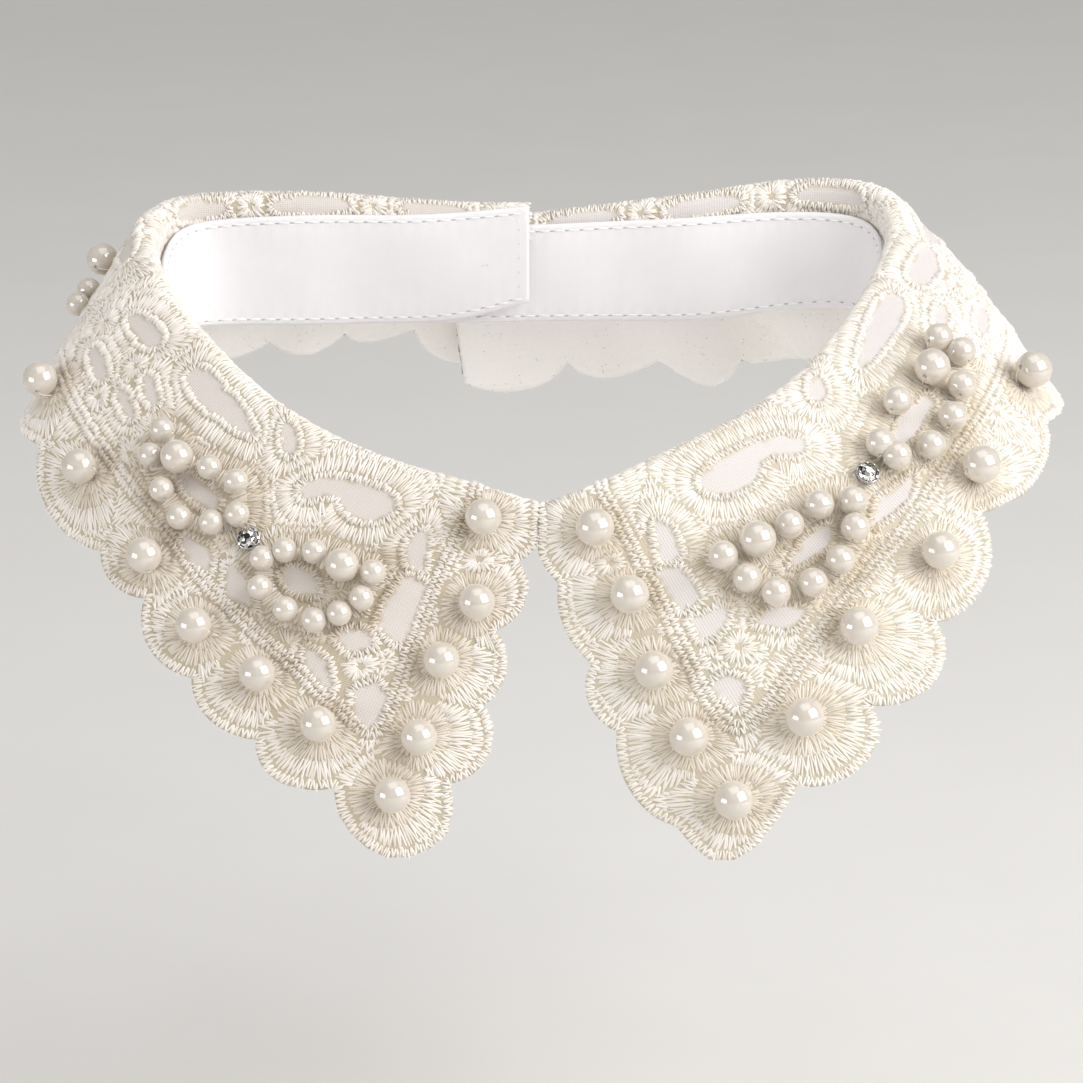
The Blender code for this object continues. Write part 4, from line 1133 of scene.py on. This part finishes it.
def model_pearl():
    """A bead of radius 1 with a short blind drill hole at each end of X, a small flat round each mouth."""
    clear_selection()
    bpy.ops.mesh.primitive_uv_sphere_add(segments=28, ring_count=20, radius=1.0)
    pearl = bpy.context.active_object
    mesh = start_edit(pearl)
    for f in mesh.faces:
        f.select_set(abs(f.calc_center_median().z) > 0.985)
    bmesh.update_edit_mesh(pearl.data)
    bpy.ops.mesh.inset(thickness=0.03)
    bpy.ops.mesh.extrude_region_move(TRANSFORM_OT_translate={"value": (0.0, 0.0, 0.0)})
    mesh = bmesh.from_edit_mesh(pearl.data)
    for v in mesh.verts:
        if v.select:
            v.co.z -= 0.45 * math.copysign(1.0, v.co.z)
    bmesh.update_edit_mesh(pearl.data)
    bpy.ops.mesh.select_all(action="SELECT")
    bpy.ops.mesh.remove_doubles(threshold=0.0001)
    bpy.ops.transform.rotate(value=math.radians(90), orient_axis="Y", center_override=(0.0, 0.0, 0.0))
    end_edit(pearl)
    return shape_arrays(pearl)


def model_strand():
    """One turn of sewing thread from a bead's drill hole down to the cloth, for a bead of radius 1."""
    curve = bpy.data.curves.new("strand", "CURVE")
    curve.dimensions = "3D"
    curve.bevel_depth = 0.035
    curve.bevel_resolution = 1
    line = curve.splines.new("NURBS")
    places = [(0.80, 0.0, 0.0), (1.0, 0.0, -0.08), (0.92, 0.0, -0.42), (0.74, 0.0, -0.74), (0.4, 0.0, -1.15)]
    line.points.add(len(places) - 1)
    for point, place in zip(line.points, places):
        point.co = (place[0], place[1], place[2], 1.0)
    line.use_endpoint_u = True
    line.order_u = 3
    line.resolution_u = 4
    strand = bpy.data.objects.new("strand", curve)
    bpy.context.scene.collection.objects.link(strand)
    clear_selection()
    strand.select_set(True)
    bpy.context.view_layer.objects.active = strand
    bpy.ops.object.convert(target="MESH")
    clear_selection()
    return shape_arrays(strand)


def one_point(cloth, s, t, lift=0.0):
    """One pattern place as a point in space."""
    return cloth.point(np.array([s]), np.array([t]), np.array([lift]))[0]


def bead_places(shape, cloth, s, t, radius, turn):
    """A bead shape's points set at its place on the cloth, its hole turned about the cloth's normal."""
    centre = one_point(cloth, s, t, SEAT + radius * 1.03)
    z = unit(cloth.look(cloth.out, np.array([s]), np.array([t])))[0]
    x = one_point(cloth, s + 0.5, t) - one_point(cloth, s - 0.5, t)
    x = unit(x - z * np.dot(x, z))
    y = np.cross(z, x)
    a = math.cos(turn) * x + math.sin(turn) * y
    b = np.cross(z, a)
    return centre + radius * (shape[:, 0:1] * a + shape[:, 1:2] * b + shape[:, 2:3] * z)


def mirrored(shape):
    """A shape turned half round, for a bead's other end."""
    return np.stack([-shape[:, 0], -shape[:, 1], shape[:, 2]], 1)


def make_beads():
    """Each large pearl, and the threads that hold it."""
    strand_points, strand_faces = STRAND
    pearl_points, pearl_faces = PEARL
    for side, cloth, places in (("left", left, PEARLS_LEFT), ("right", right, PEARLS_RIGHT)):
        radius = PEARL_RADIUS[side]
        threads = []
        for i, (s, t) in enumerate(places):
            turn = rng.uniform(-0.8, 0.8) + (math.pi if rng.random() < 0.5 else 0.0)
            bead = bead_places(pearl_points, cloth, s, t, radius, turn)
            name = "large_pearl_%s_%02d" % (side, i + 1)
            obj = joined_mesh(name, bead[None], pearl_faces, PEARL_MATERIAL)
            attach(obj, "root")
            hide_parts("pearl_%s_%02d" % (side, i + 1))
            threads.append(bead_places(strand_points, cloth, s, t, radius, turn))
            threads.append(bead_places(mirrored(strand_points), cloth, s, t, radius, turn))
        obj = joined_mesh("bead_thread_" + side, np.array(threads), strand_faces, THREADS[side])
        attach(obj, "root")


def make_loops():
    """The small pearls, strung in closed loops with one larger pearl in each front and side loop."""
    pearl_points, pearl_faces = PEARL
    strand_points, strand_faces = STRAND
    for side, cloth, loops, big in (("left", left, LOOPS_LEFT, BIG_LEFT),
                                    ("right", right, LOOPS_RIGHT, BIG_RIGHT)):
        small_radius, big_radius = LOOP_RADII[side]
        for key, places in loops.items():
            beads = []
            threads = []
            count = len(places)
            for i, (s, t) in enumerate(places):
                radius = big_radius if i == big[key] else small_radius
                before = places[i - 1]
                after = places[(i + 1) % count]
                turn = math.atan2(after[1] - before[1], after[0] - before[0])
                here = one_point(cloth, s, t)
                out = cloth.look(cloth.out, np.array([s]), np.array([t]))[0]
                across = np.cross(out, one_point(cloth, s + 1.0, t) - here)
                # On the half whose pattern runs the other way round, the turn runs back too.
                if np.dot(across, one_point(cloth, s, t + 1.0) - here) < 0.0:
                    turn = -turn
                turn += rng.normal(0.0, 0.12)
                beads.append(bead_places(pearl_points, cloth, s, t, radius, turn))
                threads.append(bead_places(strand_points, cloth, s, t, radius, turn))
                threads.append(bead_places(mirrored(strand_points), cloth, s, t, radius, turn))
            name = "pearl_loop_%s_%s" % (side, key)
            obj = joined_mesh(name, np.array(beads), pearl_faces, PEARL_MATERIAL)
            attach(obj, "root")
            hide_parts("loop_%s_%s" % (side, key))
            name = "loop_thread_%s_%s" % (side, key)
            obj = joined_mesh(name, np.array(threads), strand_faces, THREADS[side])
            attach(obj, "root")


def place_on(obj, cloth, s, t, lift):
    """Move a finished small piece, modelled in millimetres at the origin, to its place on the cloth."""
    foot = one_point(cloth, s, t, lift)
    n = unit(cloth.look(cloth.out, np.array([s]), np.array([t])))[0]
    turn = Vector([float(c) for c in n]).to_track_quat("Z", "Y").to_matrix().to_4x4()
    move = Matrix.Translation(Vector([float(c) * MM for c in foot])) @ turn @ Matrix.Scale(MM, 4)
    obj.data.transform(move)
    obj.data.update()


def name_and_dress(obj, name, material):
    """Name a finished piece and give it one material."""
    obj.name = name
    obj.data.name = name
    obj.data.materials.clear()
    obj.data.materials.append(material)


def make_stone(side, cloth, place):
    """A round rhinestone: a stepped silver cup with eight claws folded over a cut stone."""
    clear_selection()
    bpy.ops.mesh.primitive_cylinder_add(vertices=32, radius=1.9, depth=1.4, location=(0.0, 0.0, 0.7))
    cup = bpy.context.active_object
    bpy.ops.object.transform_apply(location=True, rotation=True, scale=True)
    select_tops(cup, start_edit(cup))
    bpy.ops.transform.resize(value=(1.22, 1.22, 1.0), center_override=(0.0, 0.0, 0.0))
    bpy.ops.mesh.inset(thickness=0.25)
    bpy.ops.transform.translate(value=(0.0, 0.0, 0.12))
    bpy.ops.mesh.inset(thickness=0.15)
    bpy.ops.transform.translate(value=(0.0, 0.0, -0.5))
    end_edit(cup)
    soften_edges(cup)
    parts = [cup]
    for i in range(CLAWS):
        bpy.ops.mesh.primitive_cube_add(size=1.0, location=(2.2, 0.0, 1.25), scale=(0.35, 0.62, 1.1))
        claw = bpy.context.active_object
        bpy.ops.object.transform_apply(location=True, rotation=True, scale=True)
        select_tops(claw, start_edit(claw))
        bpy.ops.mesh.extrude_region_move(TRANSFORM_OT_translate={"value": (-0.45, 0.0, 0.32)})
        bpy.ops.transform.resize(value=(0.7, 0.75, 0.6), center_override=(1.75, 0.0, 2.12))
        bpy.ops.mesh.select_all(action="SELECT")
        bpy.ops.transform.rotate(value=2.0 * math.pi * i / CLAWS, orient_axis="Z",
                                 center_override=(0.0, 0.0, 0.0))
        end_edit(claw)
        soften_edges(claw)
        parts.append(claw)
    clear_selection()
    for part in parts:
        part.select_set(True)
    bpy.context.view_layer.objects.active = cup
    bpy.ops.object.join()
    bpy.ops.object.shade_smooth_by_angle(angle=math.radians(35))
    clear_selection()
    name_and_dress(cup, "stone_setting_" + side, SILVER)
    place_on(cup, cloth, place[0], place[1], SEAT)

    bpy.ops.mesh.primitive_cone_add(vertices=8, radius1=2.0, radius2=1.1, depth=0.95,
                                    location=(0.0, 0.0, 1.95))
    stone = bpy.context.active_object
    bpy.ops.object.transform_apply(location=True, rotation=True, scale=True)
    mesh = start_edit(stone)
    for e in mesh.edges:
        flat = abs(e.verts[0].co.z - e.verts[1].co.z) < 0.01
        e.select_set(flat and e.verts[0].co.z > 2.0)
    bmesh.update_edit_mesh(stone.data)
    bpy.ops.mesh.bevel(offset=0.42, segments=1, profile=0.5)
    bpy.ops.mesh.select_all(action="SELECT")
    bpy.ops.mesh.poke()
    mesh = bmesh.from_edit_mesh(stone.data)
    for v in mesh.verts:
        if len(v.link_faces) <= 4:
            v.co += v.normal * 0.05
    end_edit(stone)
    name_and_dress(stone, "cut_stone_" + side, STONE)
    place_on(stone, cloth, place[0], place[1], SEAT)
    for obj in (cup, stone):
        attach(obj, "root")
    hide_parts("rhinestone_" + side)


TOPSTITCH_PITCH = 3.0
# How far the topstitching runs from the band's edges, and how deep its stitches sink in.
EDGE_MARGIN = 1.3
SUNK = 0.24
# Length, width and tone of a topstitch, and of the needle hole after it: a grey stitch shape that is painted
# shade in the hole.
TOPSTITCH = (2.2, 0.42, 0.0)
NEEDLE_HOLE_SHADE = (0.95, 0.36, 1.0)
# Where the snap is sewn on, along and down the band: near its left end, and back from its right end.
SNAP_MARKS = ((9.4, 11.2), (-12.0, 10.0))


def pucker(a, down, height):
    """How far the band's face swells between stitches and sinks at the stitch line, in millimetres."""
    row = np.minimum(np.abs(down * height - EDGE_MARGIN), np.abs((1.0 - down) * height - EDGE_MARGIN))
    near = np.exp(-(row / 1.1) ** 2)
    return near * (0.10 * np.cos(2.0 * math.pi * a / TOPSTITCH_PITCH) + 0.16)


def make_band():
    """The band: one strip of white cotton round the neck, folded edges, its ends lapped at the back."""
    columns = 520
    rows = [0.0, 0.03, 0.06, 0.10, 0.2, 0.35, 0.5, 0.65, 0.8, 0.90, 0.94, 0.97, 1.0]
    a = np.linspace(0.0, band.length, columns)
    points = []
    place = []
    for down in rows:
        d = np.full(a.shape, down)
        height = band.height(a)
        thin = BAND / 2.0 - pucker(a, d, height)
        ripple = band.ripple(a, down)
        for face in (-1.0, 1.0):
            edge = 0.35 if down in (0.0, 1.0) else 1.0
            points.append(band.point(a, d, face * thin * edge + ripple))
            place.append(np.stack([a, down * height, 0.0 * a + face], 1))
    count = len(rows)
    faces = []
    for k in range(count - 1):
        for side in (0, 1):
            low = (2 * k + side) * columns
            high = (2 * (k + 1) + side) * columns
            for i in range(columns - 1):
                faces.append((low + i, low + i + 1, high + i + 1, high + i))
    for k in (0, count - 1):
        for i in range(columns - 1):
            inner = 2 * k * columns + i
            outer = (2 * k + 1) * columns + i
            faces.append((inner, inner + 1, outer + 1, outer))
    for k in range(count - 1):
        for i in (0, columns - 1):
            a0 = 2 * k * columns + i
            faces.append((a0, a0 + columns, a0 + 3 * columns, a0 + 2 * columns))
    mesh = bpy.data.meshes.new("band_cloth")
    mesh.from_pydata([tuple(float(c) * MM for c in p) for p in np.vstack(points)], [], faces)
    weave = mesh.attributes.new("weave_place", "FLOAT_VECTOR", "POINT")
    weave.data.foreach_set("vector", np.vstack(place).ravel().astype(np.float32))
    obj = bpy.data.objects.new("band_cloth", mesh)
    bpy.context.scene.collection.objects.link(obj)
    face_outwards(obj)
    for f in obj.data.polygons:
        f.use_smooth = True
    mesh.materials.append(POPLIN)
    return obj


def make_topstitch():
    """White lockstitch with its needle holes in painted shade, along both edges and the lapped end, and the
    snap's marks.
    """
    points, faces = STITCH
    # Each row: place along and down the band, direction, length, width and tone.
    rows = []
    for lower in (False, True):
        for a in np.arange(2.4, band.length - 1.5, TOPSTITCH_PITCH):
            height = float(band.height(np.array([a]))[0])
            down = (height - EDGE_MARGIN) if lower else EDGE_MARGIN
            rows.append((a, down, 1.0, 0.0) + TOPSTITCH)
            rows.append((a + TOPSTITCH_PITCH / 2.0, down, 1.0, 0.0) + NEEDLE_HOLE_SHADE)
    height = float(band.height(np.array([0.0]))[0])
    for down in np.arange(3.2, height - 2.2, TOPSTITCH_PITCH):
        rows.append((2.2, down, 0.0, 1.0) + TOPSTITCH)
        rows.append((2.2, down + TOPSTITCH_PITCH / 2.0, 0.0, 1.0) + NEEDLE_HOLE_SHADE)
    for a, down in SNAP_MARKS:
        if a < 0.0:
            a = band.length + a
        for i, turn in enumerate((0.6, 2.3, 1.5, 0.2, 2.8)):
            rows.append((a - 0.9 + 0.45 * i, down + 0.3 * (i % 2), math.cos(turn), math.sin(turn), 1.7, 0.3,
                         0.9 * (i % 2)))
    rows = np.array(rows)
    places = []
    for face in (-1.0, 1.0):
        x = points[None, :, 0] * rows[:, 4:5]
        y = points[None, :, 1] * rows[:, 5:6]
        a = rows[:, 0:1] + x * rows[:, 2:3] - y * rows[:, 3:4]
        down = rows[:, 1:2] + x * rows[:, 3:4] + y * rows[:, 2:3]
        height = band.height(a.ravel()).reshape(a.shape)
        lift = face * (BAND / 2.0 - SUNK + points[None, :, 2] * 0.30) + band.ripple(a, down / height)
        flat = band.point(a.ravel(), (down / height).ravel(), lift.ravel())
        places.append(flat.reshape(a.shape + (3,)))
    obj = joined_mesh("band_topstitch", np.vstack(places), faces, COTTON_THREAD)
    set_tones_and_shade(obj, np.tile(rows[:, 6], 2), len(points))
    face_outwards(obj)
    return obj


# Azimuth and elevation in degrees, distance, width and height in metres, and watts.
SOFTBOXES = {
    "key_softbox": (57.0, 28.5, 1.3, 1.15, 1.1, 17.0),
    "fill_softbox": (-59.0, -6.0, 1.3, 0.85, 0.85, 9.5),
    "top_softbox": (20.0, 80.0, 1.3, 1.2, 1.2, 5.0),
}


def softbox(name, azimuth, elevation, distance, wide, high, power):
    """A soft light aimed at the collar: azimuth from the camera's side, to the right positive."""
    light = bpy.data.lights.new(name, "AREA")
    light.shape = "RECTANGLE"
    light.size = wide
    light.size_y = high
    light.energy = power
    lamp = bpy.data.objects.new(name, light)
    a = math.radians(azimuth)
    e = math.radians(elevation)
    at = Vector((math.sin(a) * math.cos(e), -math.cos(a) * math.cos(e), math.sin(e))) * distance
    lamp.location = at
    lamp.rotation_euler = (-at).to_track_quat("-Z", "Y").to_euler()
    bpy.context.scene.collection.objects.link(lamp)


def make_studio():
    """Plain pale floor and soft light: a large box to the right, a smaller one to the left, one above, and a
    pale world.
    """
    clear_selection()
    bpy.ops.mesh.primitive_plane_add(size=6.0, location=(0.0, 0.0, FLOOR))
    floor = bpy.context.active_object
    bpy.ops.object.transform_apply(location=True, rotation=True, scale=True)
    start_edit(floor)
    bpy.ops.mesh.select_all(action="SELECT")
    bpy.ops.mesh.subdivide(number_cuts=1)
    end_edit(floor)
    floor.name = "studio_floor"
    floor.data.materials.append(PAPER)
    for name, light in SOFTBOXES.items():
        softbox(name, *light)
    world = bpy.data.worlds.new("studio")
    world.use_nodes = True
    world.node_tree.nodes["Background"].inputs["Color"].default_value = linear("#F4F3F2")
    world.node_tree.nodes["Background"].inputs["Strength"].default_value = 0.46
    bpy.context.scene.world = world


def make_camera():
    """The photo's view: 16 degrees above level, 1 m from the collar's front edge."""
    data = bpy.data.cameras.new("camera")
    data.sensor_width = 36.0
    data.lens = 176.18
    camera = bpy.data.objects.new("camera", data)
    camera.location = (0.00066, -1.01326, 0.25665)
    camera.rotation_euler = (math.radians(74.0), 0.0, 0.0)
    bpy.context.scene.collection.objects.link(camera)
    bpy.context.scene.camera = camera


# The floor lies well below the collar, which a neck holds up. In metres.
FLOOR = -0.16
# Spacing of the ground cloth's points, and how far they keep from its outline.
SHELL_STEP = 1.1
RIM_CLEAR = 0.7
# Spacing of the embroidery's stitches along a ring.
PITCH = 0.51
# A stitch's foot above the cloth's middle, its width and its height.
STITCH_LIFT = 0.38
STITCH_WIDTH = 0.50
STITCH_HEIGHT = 0.43

POPLIN = cotton_poplin("starched_cotton_poplin")
# The cotton thread's deep grey is the painted shade of the needle holes; the snap marks use it too.
COTTON_THREAD = satin_thread("white_cotton_thread", "#F4F2F3", "#B3AFB1")
# Each thread's second colour is its deep tone, and also the tan of the painted shade round the beads.
THREADS = {"left": satin_thread("cream_satin_thread_left", "#F3EEE9", "#C4B49A"),
           "right": satin_thread("cream_satin_thread_right", "#F5F1EC", "#D0C1A6")}
# The third colour is the underlay's tan, darkened as painted shade between the stitches.
GROUND = {"left": plain_weave("cotton_sateen_ground_left", ("#E2DAD4", "#CFC7C1"), "#BEB29D"),
          "right": plain_weave("cotton_sateen_ground_right", ("#E7E1DE", "#D5CECB"), "#C9BEAB")}
# The third colour is the needle holes' painted shade.
UNDERSIDE = needle_felt("embroidery_underside", ("#FFFDFA", "#F8F4EF", "#CFC8BC"))
PEARL_MATERIAL = pearl_lacquer("pearl_lacquer", ("#C9C0B4", "#D6CDC1"))
SILVER = bright_metal("rhodium_plate", "#C7C6C4", 0.22)
STONE = foiled_stone("foiled_cut_glass_painted_reflections")
SNAP_STEEL = bright_metal("nickel_plated_snap", "#B9BABD", 0.3)
PAPER = backdrop_paper("studio_paper")

left = Cloth(LEFT, WAVES_LEFT)
right = Cloth(RIGHT, WAVES_RIGHT)
band = BandCloth()
STITCH = model_stitch()
PEARL = model_pearl()
STRAND = model_strand()

band_cloth = make_band()
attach(band_cloth, "root")
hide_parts("stand")
topstitch = make_topstitch()
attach(topstitch, "root")

# Each half's cloth, its side of the middle plane, its outline and what is sewn on it.
BEDS = {
    "left": (left, -1.0, EDGE_LEFT, PEARLS_LEFT, LOOPS_LEFT, PAISLEYS_LEFT, LEAVES_LEFT, CORNERED_LEFT,
             FLOWERS_LEFT, LADDER_LEFT),
    "right": (right, 1.0, EDGE_RIGHT, PEARLS_RIGHT, LOOPS_RIGHT, PAISLEYS_RIGHT, LEAVES_RIGHT, CORNERED_RIGHT,
              FLOWERS_RIGHT, LADDER_RIGHT),
}
# Each half's embroidery is three pieces, from and to along the pattern.
ZONES = {"front": (-20.0, 70.0), "side": (70.0, 150.0), "back": (150.0, 250.0)}
for side, (cloth, sign, edge, pearls, loops, paisleys, leaves, cornered, flowers, ladder) in BEDS.items():
    pattern = Pattern(cloth, sign, edge, pearls, loops, paisleys, leaves, cornered, flowers, ladder)
    ground = make_fall(side, cloth, pattern, sign, GROUND[side], UNDERSIDE)
    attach(ground, "root")
    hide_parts("fall_" + side)
    rows = pattern.stitches()
    beads = pearls + [place for places in loops.values() for place in places]
    near_bead = np.min([np.hypot(rows[:, 0] - s, rows[:, 1] - t) for s, t in beads], axis=0)
    # Thread tone: a little uneven all over, and deeper close round a bead, where the tan is painted shade.
    tones_and_shade = 0.05 + 0.32 * rng.random(len(rows)) ** 2 + 0.5 * np.exp(-((near_bead - 3.8) / 2.2) ** 2)
    for zone, (low, high) in ZONES.items():
        here = (rows[:, 0] >= low) & (rows[:, 0] < high)
        name = "embroidery_%s_%s" % (side, zone)
        obj = lay_stitches(name, cloth, rows[here], tones_and_shade[here], THREADS[side])
        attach(obj, "root")
make_beads()
make_loops()
make_stone("left", left, STONE_LEFT)
make_stone("right", right, STONE_RIGHT)
snap = bpy.data.objects["snap"]
for slot in snap.material_slots:
    slot.material = SNAP_STEEL
make_studio()
make_camera()
bpy.context.scene.view_settings.view_transform = "Standard"
